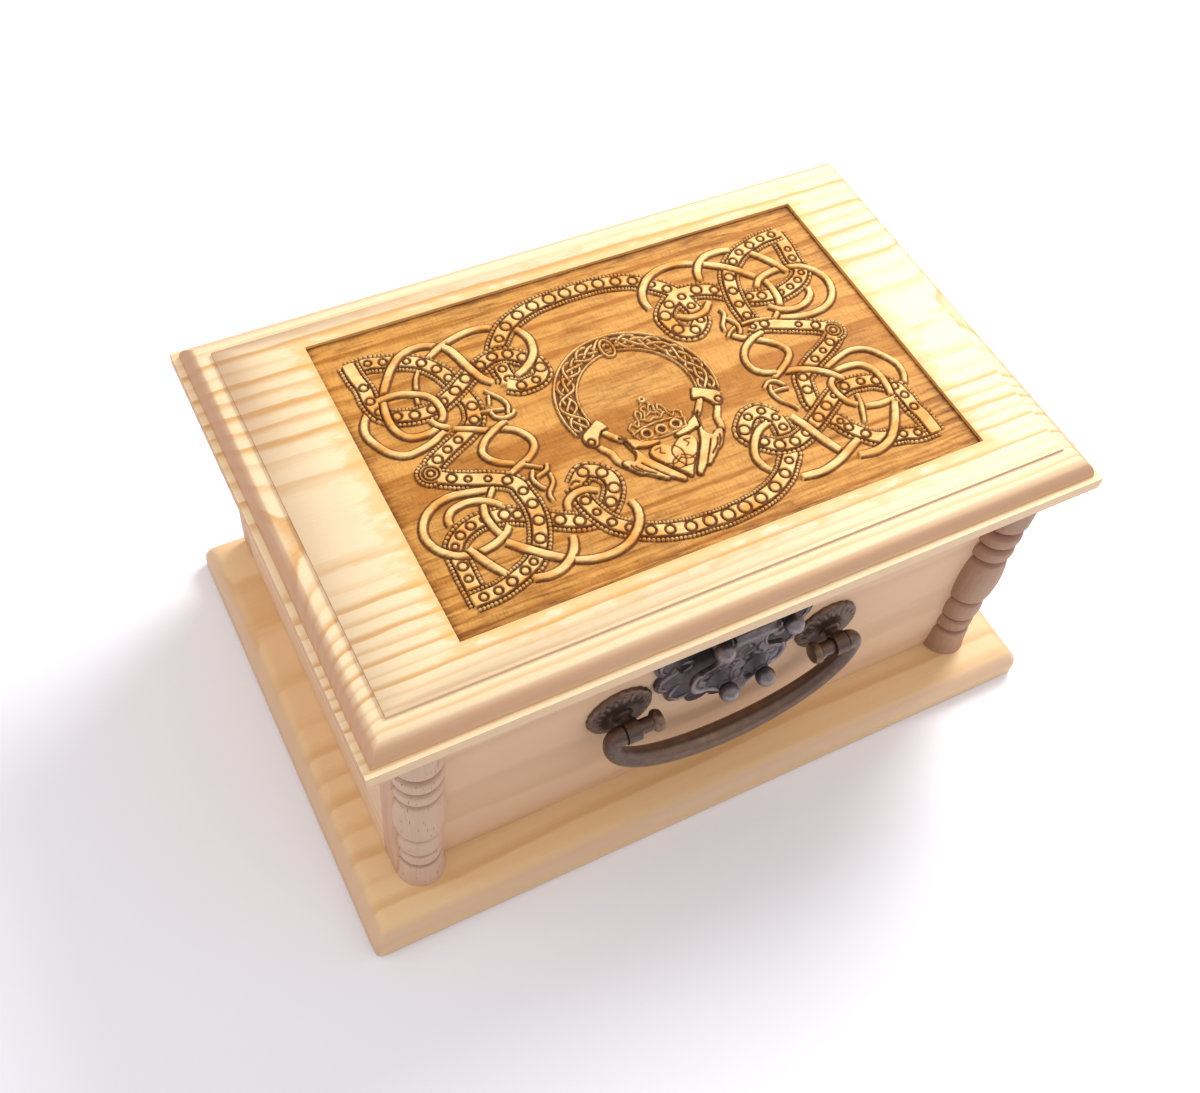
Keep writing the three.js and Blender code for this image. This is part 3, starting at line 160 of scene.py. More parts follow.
# The hasp, in millimetres: outline as half width and drop below the lid, then depths off the wall
LID_UNDERSIDE = extent("front_wall")[1].z
FLAP_OUTLINE = ((0.0, 40.1), (0.6, 40.1), (9.5, 37.4), (12.8, 36.9), (14.7, 34.6), (15.3, 31.2),
                (14.9, 28.6), (13.7, 26.7), (11.5, 26.0), (8.7, 24.7), (7.1, 21.8), (6.5, 17.5),
                (6.5, 10.9))
FLAP_THICK = 1.3
FLAP_BACK = 4.6
FLAP_RIM = 1.5
FLAP_RELIEF = 0.35
FLAP_STEP = 0.3
FLAP_COLUMNS = 121
KNUCKLE_RADIUS = 2.4
KNUCKLE_LENGTH = 13.1
KNUCKLE_CHAMFER = 0.3
HASP_SIDES = 40

# Where the flap leans off the wall, above its wings and at its point: drop and slope
NECK_DROP, NECK_SLOPE = 26, 1.1 / 15.1
POINT_DROP, POINT_SLOPE = 37.4, 2.6 / 2.7

# Each pair of pegs, in millimetres: distance out, drop below the lid, distance off the wall,
# length, and radius at the base
PEGS = {
    "upper": (10.7, 10.0, 3.6, 9.0, 2.6),
    "lower": (5.9, 32.6, 5.9, 7.8, 4.5),
}

# All pegs, in millimetres: the radii of waist and ball, the straight foot, and how far the waist
# runs up into the ball, whose curve starts at this angle in radians
PEG_WAIST = 2.3
PEG_BALL = 2.9
PEG_FOOT = 0.1
PEG_OVERLAP = 0.6
PEG_BALL_START = -0.75
PEG_STEPS = 17

# Curls raised on the lock plate: distance out, height and radius in millimetres, then start and
# sweep in degrees. Each is a bar of this radius, with this much of it left at its tips.
PLATE_CURLS = ((18.2, 62.0, 4.4, -70, 200), (18.0, 72.5, 5.6, -60, 210),
               (14.0, 54.3, 4.2, -120, 190), (15.2, 67.6, 2.4, 60, 300))
CURL_RADIUS = 0.55
CURL_TIP = 0.2
CURL_STEPS = 33
CURL_SIDES = 12

# How far the edges of the metal pieces are rounded, in millimetres
SCREW_EDGE = 0.1
SHEET_EDGE = 0.15
BOLT_EDGE = 0.2
PLATE_EDGE = 0.3

# Scrolls cut in the flap, as distance out from its middle line and height below the lid, and
# the corners and step of the grid that they are cut on
SCROLL_FIELD = ((-17, -42), (17, -9), 0.15)
SCROLL_HALF = 0.5
FLAP_SCROLLS = (
    ((1.2, -19), (2.6, -21), (2.2, -23.4), (0.8, -24.4)),
    ((4.6, -20), (3.9, -22.6), (4.6, -25.4), (6.6, -27)),
    ((1.0, -27), (2.8, -26.2), (3.4, -28), (2.2, -29.2)),
    ((8.6, -28), (10.8, -27.9), (11.6, -29.6), (10.4, -30.8), (9.2, -30)),
    ((12.9, -28.8), (13.4, -31), (12.8, -33.4), (11.2, -34.8)),
    ((9.8, -33.4), (8.8, -35), (6.6, -36)),
    ((1.0, -32), (1.6, -34.5), (0.9, -37)),
    ((3.0, -37.2), (4.8, -37.6), (6.8, -36.9)),
)

# The photograph's camera: bearing, tilt and roll in degrees, then millimetres
CAMERA_ANGLES = (-34.514, 54.424, 8.724)
CAMERA_DISTANCE = 415.92
SENSOR_WIDTH = 36
CAMERA_TARGET = (-14.514, LID_MIDDLE_Y - 11.858, 60.0)

# Each lamp's place and width in metres, and its share of the main lamp's power
LAMPS = {
    "key": ((0.46, 0.26, 0.56), 0.35, 1.0),
    "side": ((-0.75, 0.15, 0.65), 1.0, 0.4),
    "front": ((0.75, -0.45, 0.5), 1.2, 0.3),
}

# The light from all round, and its level at the horizon and overhead
SKY_COLOUR = (0.98, 0.97, 1.0)
SKY_LEVELS = (0.68, 1.2)

# The floor's two tints, then half its width and its distance under the box, in metres
FLOOR_COLOURS = ((0.94, 0.94, 0.98), (0.96, 0.96, 1.0))
FLOOR_HALF = 3.0
FLOOR_DROP = 0.0005

# Growth rings of each wood: the pith's place and the rings' width and waver in millimetres, how
# much closer the rings stand towards the front, and how strongly the wood is flecked
LID_RINGS = {"Pith": (0, -10, 69.6), "Ring Width": 3.2, "Waver": 1.8, "Lean": 0.22, "Flecks": 0.12}
BASE_RINGS = {"Pith": (0, 45, -60), "Ring Width": 6.5, "Waver": 8}
WALL_RINGS = {"Pith": (0, -110, 40), "Ring Width": 6, "Waver": 9}
TURNED_RINGS = {"Pith": (0, 60, -150), "Ring Width": 34, "Waver": 6, "Flecks": 1.6}

# What end grain keeps of the wood's colour, and metal of its own where nothing rubs it
END_GRAIN = (0.84, 0.74, 0.78)
UNRUBBED = 0.6

# How far the scorch round the panel reaches, in millimetres, and how dark it is
SCORCH_REACH = 7.0
SCORCH_SHARE = 0.6

# Depth of each finish's fine grain, in metres
WOOD_DEPTH = 0.00012
CARVED_DEPTH = 0.0001
METAL_DEPTH = 0.00006

# The carving's drawing, in millimetres from the middle of the lid. A point with a third
# number is a jewel of that radius on its band. Each stroke is carved over the ones before it.

KNOTWORK = (
    # Top left corner
    ("ribbon", 1.0, ((-53.8, 11.7), (-58, 9.5), (-63, 8.3), (-66.3, 8.4), (-69.5, 10.6),
                     (-71.8, 14.5), (-73, 18.5), (-72.3, 22), (-70, 25.6))),
    ("band", 1.9, ((-69.3, 41.9), (-67.6, 41.9, 1.2), (-63.3, 41.9, 1.0), (-59.3, 40.8, 1.1),
                   (-55.5, 39.6), (-53.2, 38.6, 1.0), (-49.7, 36.4, 1.3), (-46.8, 32.8, 1.3),
                   (-45, 28.6, 1.2), (-44.2, 24), (-43.5, 20), (-43.3, 16.8, 1.4),
                   (-44.8, 12.2, 1.3), (-48, 9.4), (-51.6, 7.5, 1.1), (-55.5, 5.6, 1.1),
                   (-59.2, 3.6, 1.3), (-62, 1.6))),
    ("ribbon", 0.6, ((-51.8, 34), (-53.5, 31.4), (-55, 27.5), (-56, 24.5), (-56.3, 22.3))),
    ("ribbon", 1.05, ((-64.5, 28), (-63, 31), (-60.5, 34.8), (-57.5, 38.5), (-54, 41.3),
                      (-50, 42.5), (-46.5, 42.3), (-43.5, 41), (-42.3, 40.1))),
    ("ribbon", 0.95, ((-46.8, 37.8), (-44, 39.5), (-41, 40.8), (-37, 42), (-33, 42.6),
                      (-29, 42.3), (-25.5, 41), (-22, 39.5))),
    ("band", 2.0, ((-31, 20.2), (-30.1, 21.9, 1.0), (-30.1, 25.8, 1.1), (-29.3, 30),
                   (-28.2, 33.5), (-26.1, 36.4, 1.2), (-22.4, 40, 1.5), (-17.4, 42.7, 1.6),
                   (-11.9, 44.4, 1.7), (-6.2, 45.1, 1.8), (-1, 45.5, 1.7), (2, 45.5))),
    ("band", 1.8, ((-68.4, 43.4), (-68.2, 38), (-67.6, 34, 1.2), (-67.8, 28.9, 1.2),
                   (-66.9, 24.5, 1.2), (-65.3, 22.5), (-63.2, 21.3, 1.3), (-58.7, 19.9, 1.4),
                   (-53.7, 19.9, 1.3), (-49.7, 21.4, 1.1), (-45.3, 23.6, 1.5),
                   (-40.9, 26.5, 1.5), (-38, 28.3), (-35.1, 29.5, 1.3), (-30.8, 31, 1.4),
                   (-26.4, 30.3, 1.4), (-23.1, 27.6, 1.4), (-20.6, 25), (-20, 22.3, 1.6),
                   (-20.8, 20), (-23.2, 18.6, 1.1), (-27.8, 18.3, 1.3), (-31, 20.2))),
    ("ribbon", 1.0, ((-54, 13.7), (-58, 12.8), (-61.5, 13), (-64, 14.6), (-65.4, 17.5),
                     (-65.7, 20.5), (-65.4, 24), (-64.5, 28))),
    ("ribbon", 0.95, ((-66, 28.5), (-62, 28.8), (-58.5, 28.2), (-55.5, 26.8), (-53, 25.2),
                      (-51.5, 22.5), (-51.2, 19), (-52, 16.4), (-53.6, 15.2))),
    ("ribbon", 0.9, ((-55.4, 16.6), (-54.2, 14.3), (-51.8, 12.6))),
    ("ribbon", 1.2, ((-41.7, 39.9), (-40.4, 38), (-39.3, 34.5), (-38.4, 30.5),
                     (-37.4, 27.3), (-36.3, 24.8), (-34.4, 22.7))),
    ("ribbon", 1.1, ((-20, 38.2), (-18.9, 36.3), (-18.2, 34.2), (-18.2, 31.8), (-19.2, 28.5),
                     (-21.5, 25.6), (-24.5, 23.5), (-27, 22.4))),
    # Top right corner
    ("band", 1.8, ((43, 13.1), (43.7, 12.7, 0.9), (47.3, 12.3, 1.3), (52, 10.3), (56.6, 8.2, 0.9),
                   (61.1, 5.9, 1.3), (64.2, 3.8))),
    ("band", 2.0, ((70.6, 44.3), (70.6, 40), (70.3, 36.4, 0.9), (69.6, 32.6, 1.1), (69.5, 29),
                   (68.8, 26.2, 0.9), (66.1, 23.9, 1.1), (62.5, 22.4, 1.0), (58.6, 21.5, 1.0),
                   (55.5, 21.8), (52.6, 22.4, 1.3), (48.9, 23.6, 1.2), (44.5, 27),
                   (40.6, 29.9, 1.3), (35.6, 32, 1.6), (30, 32.3), (25.2, 29.7, 1.4),
                   (22, 26.2, 1.7), (22, 23), (22.8, 20.1, 1.6), (24.6, 18.4), (27.4, 18, 1.4),
                   (30.8, 20.9, 1.1), (31.4, 24), (31, 26.8, 1.1), (30.2, 31.1, 1.1),
                   (27.7, 35.6, 1.3), (24.3, 39, 1.1), (19.8, 42.4, 1.4), (15, 44.1, 1.5),
                   (9.8, 45.2, 1.7), (4.4, 45.5, 1.7), (2, 45.5))),
    ("band", 1.9, ((44.5, 15.4), (44.4, 17.2, 1.2), (44.5, 22, 1.2), (45.5, 27.4, 1.3),
                   (47.4, 32.8, 1.5), (49.5, 36), (51.9, 38.2, 1.2), (55.6, 40.8, 1.1),
                   (60.2, 42.3, 1.3), (64.7, 43.5, 1.1), (68.9, 43.8, 1.1), (71.4, 43.9))),
    ("ribbon", 1.0, ((53.4, 12.9), (58, 11.4), (63, 10.8), (68, 11.5), (71.5, 13.6), (74, 17),
                     (74.9, 21.5), (73.5, 25.5), (70.5, 28.7), (66.6, 30.1))),
    ("ribbon", 1.05, ((57, 27.6), (57.3, 24), (56.9, 20), (55.5, 16.4))),
    ("ribbon", 1.0, ((53.2, 26.2), (55.5, 28.8), (59, 30.1), (63, 30.5), (66.6, 30.1))),
    ("ribbon", 1.0, ((67.5, 20.2), (66.6, 17.5), (63.5, 15.2), (59.5, 14.4), (56, 15.3),
                     (53.8, 16.8), (52.6, 18.3))),
    ("ribbon", 0.8, ((53.6, 15), (51.4, 13.1))),
    ("ribbon", 1.1, ((59.1, 39.4), (61.5, 36.3), (63.6, 32.8), (65.4, 28.6))),
    ("ribbon", 1.1, ((19.4, 30.4), (19.2, 34), (20.8, 38), (24.3, 41.6), (29, 43.7),
                     (34, 44.1), (38.5, 43.1), (41, 41.8))),
    ("ribbon", 1.1, ((38.8, 35.1), (39.8, 38.5), (42, 41.5), (45.5, 43.6), (50, 43.9),
                     (53.4, 43.2))),
    ("ribbon", 1.15, ((43.3, 40.7), (47.5, 38.1), (51.5, 34.6), (55, 30.4))),
    ("ribbon", 1.0, ((25.2, 25), (28, 23.4), (31, 22.9), (34, 23.8), (36.8, 26.4))),
    # Bottom right corner
    ("ribbon", 0.85, ((51.8, -10.4), (57, -8.4), (61, -7), (65.5, -6.1), (70, -7.5), (73, -11),
                      (75.2, -15.5), (75, -19.5), (73, -23.2))),
    ("band", 1.8, ((64.2, 0.6), (61.4, -1.4, 1.3), (57.7, -3.4, 0.9), (53.7, -5.3, 1.1),
                   (49.8, -7.6), (46.8, -9.9, 1.3), (45.4, -14.4, 1.4), (44.4, -19),
                   (46, -25), (47.8, -27.9, 0.9), (48.8, -30.6, 1.2), (51.9, -34.5, 1.3),
                   (54.6, -36.9), (58, -38), (61.7, -38.7, 1.1), (65.8, -40, 1.1),
                   (71.8, -40))),
    ("ribbon", 0.65, ((57.9, -21.2), (57, -24.5), (55.5, -28), (54.2, -30.6))),
    ("band", 2.0, ((31.8, -19.4), (31.8, -23.3, 1.1), (30.5, -28), (28.9, -32),
                   (27.1, -34, 1.1), (23.7, -37.4, 1.4), (18.8, -40.2, 1.6),
                   (13.4, -41.9, 1.6), (7.9, -42.7, 1.8), (2.6, -43.1, 1.8), (0, -43.1))),
    ("band", 1.9, ((70.9, -41.6), (70.9, -35), (70.3, -31.6, 1.1), (70.3, -26.9, 1.1),
                   (69.4, -22.9, 1.2), (65.7, -19.2, 1.4), (61.3, -17.7, 1.1),
                   (56, -17.4, 1.3), (51.4, -19.1, 1.0), (47.2, -21.6, 1.5),
                   (42.8, -24.3, 1.5), (39.6, -26), (36.7, -27.6, 1.2), (32.2, -28.9, 1.4),
                   (27.7, -28.3, 1.5), (24.3, -25.7, 1.3), (21.8, -22.8), (21.3, -20, 1.6),
                   (24.6, -16.4, 1.1), (27, -15.6), (29.2, -15.9, 1.1), (31.8, -19.4, 1.1))),
    ("ribbon", 1.0, ((56.8, -11.2), (61, -11), (65, -11.9), (67.3, -14.5), (68, -18),
                     (67.7, -22), (67, -25))),
    ("ribbon", 0.9, ((54.9, -13.2), (53.1, -15), (52.8, -18.5), (53.8, -22), (55.9, -24.3))),
    ("ribbon", 1.0, ((43.2, -5.7), (46.5, -6.3), (50, -7.7), (52.5, -9.2), (55, -11.3),
                     (57.3, -14.1))),
    ("ribbon", 0.95, ((57.8, -25.7), (62, -26.6), (66.7, -26.6))),
    ("ribbon", 1.15, ((66.3, -27.8), (64, -31.5), (61, -35.5), (57, -38.9), (52, -40.5),
                      (46.3, -39.9))),
    ("ribbon", 1.25, ((36.2, -20.7), (38, -25), (39.3, -29), (40.8, -33), (42.5, -36.8))),
    ("ribbon", 1.15, ((27.8, -40), (34, -40.6), (40, -39.2), (45, -37), (48.8, -35.2))),
    ("ribbon", 1.0, ((28.5, -20.2), (25, -21.6), (21.6, -25), (19.6, -29), (19.9, -32.5),
                     (21.1, -34.8))),
    # Bottom left corner
    ("band", 1.9, ((-67.3, -42), (-67.3, -38), (-67.3, -34, 1.0), (-67.1, -30, 1.3),
                   (-67, -26.5), (-66.4, -23.8, 0.9), (-63.8, -21.2, 1.2),
                   (-60.2, -19.5, 1.2), (-56.3, -18.9, 0.9), (-50.8, -19.7, 1.5),
                   (-47.7, -21, 1.3), (-43.3, -23.7), (-38.5, -26.9, 1.5),
                   (-33.9, -29.2, 1.5), (-29.5, -29.8), (-26.3, -29), (-23.7, -27, 1.5),
                   (-20.8, -23.3, 1.6), (-20.2, -20), (-21.4, -17.5, 1.5), (-23.5, -15.8),
                   (-26, -15.4, 1.5), (-29.5, -18.4, 1.1))),
    ("band", 1.9, ((-29.6, -18.4), (-29.6, -24, 1.3), (-28.6, -28.5, 1.0), (-26.5, -33, 1.2),
                   (-23, -36.4, 1.2), (-18.4, -39.3, 1.4), (-13.7, -41.1, 1.3),
                   (-8.2, -42.4, 1.5), (-2.8, -42.8, 1.7), (0, -43.1))),
    ("band", 1.9, ((-61.9, -1.6), (-58.4, -3.6, 1.3), (-54.6, -5.5, 0.9), (-49.8, -7.5, 0.9),
                   (-45.4, -9.9, 1.3), (-43.4, -12.3), (-43.1, -14.7, 1.2),
                   (-42.7, -19.4, 1.4), (-43.5, -24.8, 1.5), (-45.7, -30.1, 1.5),
                   (-48.3, -34), (-50.3, -35.9, 1.0), (-53.4, -37.5, 1.2),
                   (-57.8, -39.1, 1.3), (-62, -40.2, 1.1), (-66.1, -40.4, 1.1),
                   (-69, -40.5))),
    ("ribbon", 1.0, ((-51.3, -10.5), (-57, -9.2), (-61, -8.7), (-65, -9.4), (-69, -11.7),
                     (-71.5, -15.3), (-72, -19), (-70.5, -23), (-67.5, -26), (-64, -27.4),
                     (-60, -27.5), (-56, -26.6), (-53, -25), (-51.2, -23.3))),
    ("ribbon", 1.0, ((-64.7, -17.3), (-64.4, -15), (-62.5, -13), (-59, -12.2),
                     (-55.5, -12.6), (-52.5, -14.1), (-50.1, -16.3))),
    ("ribbon", 1.0, ((-54.4, -14.7), (-55.3, -18), (-55, -21.5), (-54.2, -24.5))),
    ("ribbon", 1.2, ((-53.8, -27.5), (-50.5, -31), (-46.2, -35), (-42.2, -38))),
    ("ribbon", 1.1, ((-63.4, -25.7), (-62, -29), (-60, -33), (-58.2, -35.9))),
    ("ribbon", 0.8, ((-51.9, -13), (-49.9, -10.6))),
    ("ribbon", 1.15, ((-52.2, -40.2), (-48, -41), (-44, -40.3), (-40.5, -38),
                      (-38.3, -34.8), (-37.6, -32.6))),
    ("ribbon", 1.1, ((-40.2, -39.5), (-36, -41), (-31, -41.5), (-26, -40.6), (-22, -38),
                     (-19.3, -34.8), (-18.2, -31.5), (-18.5, -28.6))),
    ("ribbon", 1.0, ((-34.9, -25.1), (-34, -22.5), (-31, -20.7), (-27.5, -20.7),
                     (-24.9, -22.1))),
    # Ovals between the corners, with their small knots
    ("ribbon", 0.9, ((-51, 11.7), (-47, 9.9), (-43, 7.8), (-39.5, 6.9), (-36, 5), (-33.9, 2),
                     (-33.3, -0.5), (-34.3, -3), (-37, -5.2), (-40, -6.5), (-43.4, -8))),
    ("ribbon", 0.9, ((-37, 8.9), (-41, 7.2), (-45, 4.7), (-47.3, 1.5), (-46.6, -1.3),
                     (-44.5, -3.5), (-41.3, -5.3))),
    ("ribbon", 0.9, ((36.5, 12.1), (38.5, 10.4), (41, 9), (44.5, 6.5), (47.7, 3.3),
                     (48.4, 0.3), (46.5, -2.2), (43, -4.6), (39.3, -6.6))),
    ("ribbon", 0.9, ((45, 9.9), (41, 8.8), (37.2, 6.2), (35.1, 2.5), (35.4, -1.3),
                     (37.5, -3.6), (40.8, -4.9))),
    ("ribbon", 0.5, ((-42.2, 14.1), (-38, 13.3), (-35.3, 12.6))),
    ("ribbon", 0.6, ((-39.5, 12.9), (-38.9, 11), (-37, 9.9), (-34.6, 10.1), (-33.3, 11.2))),
    ("ribbon", 0.55, ((-35.3, 10.8), (-34.2, 13.5), (-34.6, 16), (-36.5, 18.8),
                      (-37.8, 20.8))),
    ("ribbon", 0.5, ((-38.9, 15.4), (-38.2, 17), (-37.6, 18.6))),
    ("ribbon", 0.5, ((34.9, 12), (36.8, 13.7), (39.5, 14.7), (45, 14.9), (50.5, 13.8))),
    ("ribbon", 0.6, ((38.3, 22.6), (38.6, 20.5), (37.2, 18.4), (35.9, 16.6), (35.4, 14.4))),
    ("ribbon", 0.6, ((38.4, 18.6), (39.9, 16), (39.8, 13.5), (38.8, 11.8))),
    ("ribbon", 0.55, ((-38.9, -6.9), (-36.5, -8.5), (-34.6, -9.9))),
    ("ribbon", 0.6, ((-33.4, -8.9), (-34.5, -10.8), (-37.6, -11.8))),
    ("ribbon", 0.6, ((-37.8, -9.5), (-39, -12), (-38.2, -14.8), (-37.1, -16.4))),
    ("ribbon", 0.55, ((-34, -12.2), (-34.5, -15), (-37, -18), (-37.2, -20.6))),
    ("ribbon", 0.55, ((34.5, -8.9), (36.8, -7.3), (39.2, -8.1), (40.7, -10.6))),
    ("ribbon", 0.5, ((36.6, -8.7), (35.7, -11), (36.4, -14.3), (37.7, -16.3))),
    ("ribbon", 0.5, ((36.3, -11), (38.8, -11), (41, -11.4))),
    ("ribbon", 0.5, ((39.6, -19.4), (39.1, -18), (37.7, -16))),
)

# Round ends of the two bands that point outward: middle and radius
EYES = ((-62.7, 0.0, 2.9), (65.0, 2.4, 2.9))

# Ridges of the panel's ground: the distance between two, how far they wander, and the line where
# they start and the length over which they grow, towards the front and towards the back
RIDGE_PITCH = 2.9
RIDGE_DRIFT = 1.2
RIDGE_FRONT = (-18, 14)
RIDGE_BACK = (40, 8)

# The emblem's ring: its middle, its radii, how far below its middle it opens, and where the
# braid starts and ends, in degrees
RING_MIDDLE = (0.55, 3.1)
RING_RADII = (17.0, 23.2)
RING_OPENING = -7.6
RING_TURNS = (-16, 196)

# The ring's braid: each strand's swing off its middle and where its wave starts, the waves along
# the ring, and the points of the whole ring and of each stretch between two crossings
BRAID_STRANDS = ((2.4, 0), (2.4, math.pi), (1.3, math.pi / 2), (1.3, 1.5 * math.pi))
BRAID_WAVES = 9
BRAID_POINTS = 261
BRAID_STRETCH = 13

# Hands that hold a heart under a crown, as distances out from their middle line and heights
EMBLEM_MIDDLE = 0.5
CUFF = ((21.4, -5.5), (20.6, -4.2), (18.1, -2.6), (15.2, -0.9), (14.6, -1.4), (13.4, -4.2),
        (15.7, -5), (17.1, -6.6), (18.4, -8.9), (19.8, -8.7), (21.1, -7.7))
CUFF_BUTTON = (19.8, -7.3, 1.0)
SLEEVE_OUTER = ((18.8, -8.6), (17.9, -10.4), (16.4, -12.8), (16, -15.6), (14.5, -18.2),
                (13.1, -20))
SLEEVE_INNER = ((15.5, -4.8), (13.9, -7), (12.1, -9.2), (10.4, -10.7))
PALM = ((10.8, -9.3), (9.7, -12), (9.4, -14.6), (7.9, -18.4), (5.1, -22.6), (1.9, -27.3),
        (2.5, -28.6), (3.4, -28), (5.5, -26), (6.5, -26.4), (9.1, -24.4), (10.8, -22.9),
        (12.6, -22), (14.1, -19.8), (15.4, -17.2), (13.7, -16.6), (11.9, -17.6), (10.5, -15.5),
        (11.2, -12.6), (11.4, -10.4))
THUMB = ((10.9, -9.8), (8.5, -11), (5.5, -12.7), (2.7, -13.6), (3.1, -14.6), (5.9, -14.6),
         (8.8, -13.8), (10.1, -13.6))
FINGER_LINES = (
    ((10.7, -19), (9.1, -21.3), (5.9, -25.6)),
    ((12.7, -19.3), (11.3, -21.4), (8.7, -23.6)),
    ((13.7, -18.6), (13.1, -20.2), (11.7, -21.9)),
)
HEART = ((0, -17.3), (1.2, -16.3), (3, -15.3), (5.2, -15.2), (6.7, -16.4), (6.8, -18.3),
         (5.4, -20.8), (3.2, -23.8), (1.4, -26), (0, -28))
HEART_LINES = (
    ((0, -16.8), (1.4, -19), (1.2, -22), (-0.2, -24.6)),
    ((0.4, -20.6), (2.6, -21.8), (3.4, -23.6)),
    ((4.6, -21.8), (2.2, -22.6), (0, -21.4)),
    ((5.4, -16.6), (3.6, -16.4), (4.4, -17.8), (3.4, -18.6)),
    ((3.6, -23.4), (1.8, -24.6), (0, -24.2)),
)
CROWN_LINES = (
    ((7.9, -9.1), (5, -8.2), (2, -7.8), (0, -7.6)),
    ((7, -12), (3.6, -12.6), (0, -12.9)),
    ((7.9, -9.1), (7.4, -10.6), (7, -12)),
    ((7.6, -8.8), (7.9, -6.8), (6.4, -5.8), (5.4, -7.4), (4.4, -5.6)),
    ((6.2, -6), (4.6, -5.2), (3, -5.6), (1.8, -6.6), (0, -6)),
    ((4.4, -5.4), (4.2, -3.2), (3.2, -2.2), (2.6, -3.6), (3.2, -4.8)),
    ((2.4, -5.4), (1.6, -3.6), (1.9, -2), (0.8, -1.6), (0, -2.8)),
    ((1.2, -0.8), (0.4, 0.4), (0, 0.9)),
    ((1.4, -4.6), (0, -3.9)),
)
CROWN_RINGS = ((-4.4, -10.4, 1.45), (0, -10.6, 1.45), (4.6, -10.4, 1.45), (0, 0.9, 0.75))


# Lines and grids


# Points that a smooth curve gets between two given ones
STEPS_BETWEEN_POINTS = 24


def smooth_line(points, spacing):
    """Evenly spaced points on a smooth curve through these, its tangents and lengths along it."""
    given = np.array([point[:2] for point in points], float)
    ends = np.vstack([2 * given[0] - given[1], given, 2 * given[-1] - given[-2]])
    share = np.linspace(0, 1, STEPS_BETWEEN_POINTS, endpoint=False)[:, None]
    stretches = []
    for before, start, stop, after in zip(ends, ends[1:], ends[2:], ends[3:]):
        bend = 2 * before - 5 * start + 4 * stop - after
        twist = 3 * start - before - 3 * stop + after
        curve = 2 * start + (stop - before) * share + bend * share ** 2 + twist * share ** 3
        stretches.append(curve / 2)
    dense = np.vstack([*stretches, given[-1:]])
    run = np.concatenate([[0], np.cumsum(np.linalg.norm(np.diff(dense, axis=0), axis=1))])
    along = np.linspace(0, run[-1], max(3, int(run[-1] / spacing) + 1))
    line = np.column_stack([np.interp(along, run, dense[:, axis]) for axis in (0, 1)])
    tangent = np.gradient(line, axis=0)
    tangent /= np.linalg.norm(tangent, axis=1)[:, None] + 1e-9
    return line, tangent, along


def ease(value, width):
    """From 0 to 1, without corners, as value goes from minus half this width to plus half."""
    share = np.clip(value / width + 0.5, 0, 1)
    return share * share * (3 - 2 * share)


def soft_noise(shape, cells, seed):
    """Smooth noise from -1 to 1 with about this many cells down and across."""
    coarse = np.random.default_rng(seed).uniform(-1, 1, (cells[0] + 1, cells[1] + 1))
    rows = np.linspace(0, cells[0], shape[0])
    columns = np.linspace(0, cells[1], shape[1])
    i = np.minimum(rows.astype(int), cells[0] - 1)
    j = np.minimum(columns.astype(int), cells[1] - 1)
    down = ease(rows - i - 0.5, 1)[:, None]
    across = ease(columns - j - 0.5, 1)[None, :]
    upper = coarse[i][:, j] * (1 - across) + coarse[i][:, j + 1] * across
    lower = coarse[i + 1][:, j] * (1 - across) + coarse[i + 1][:, j + 1] * across
    return upper * (1 - down) + lower * down


def mirrored(points, side, middle=0.0):
    """Points given as distances out from a middle line, put on that side of it."""
    return [(middle + side * point[0], *point[1:]) for point in points]


# Carving


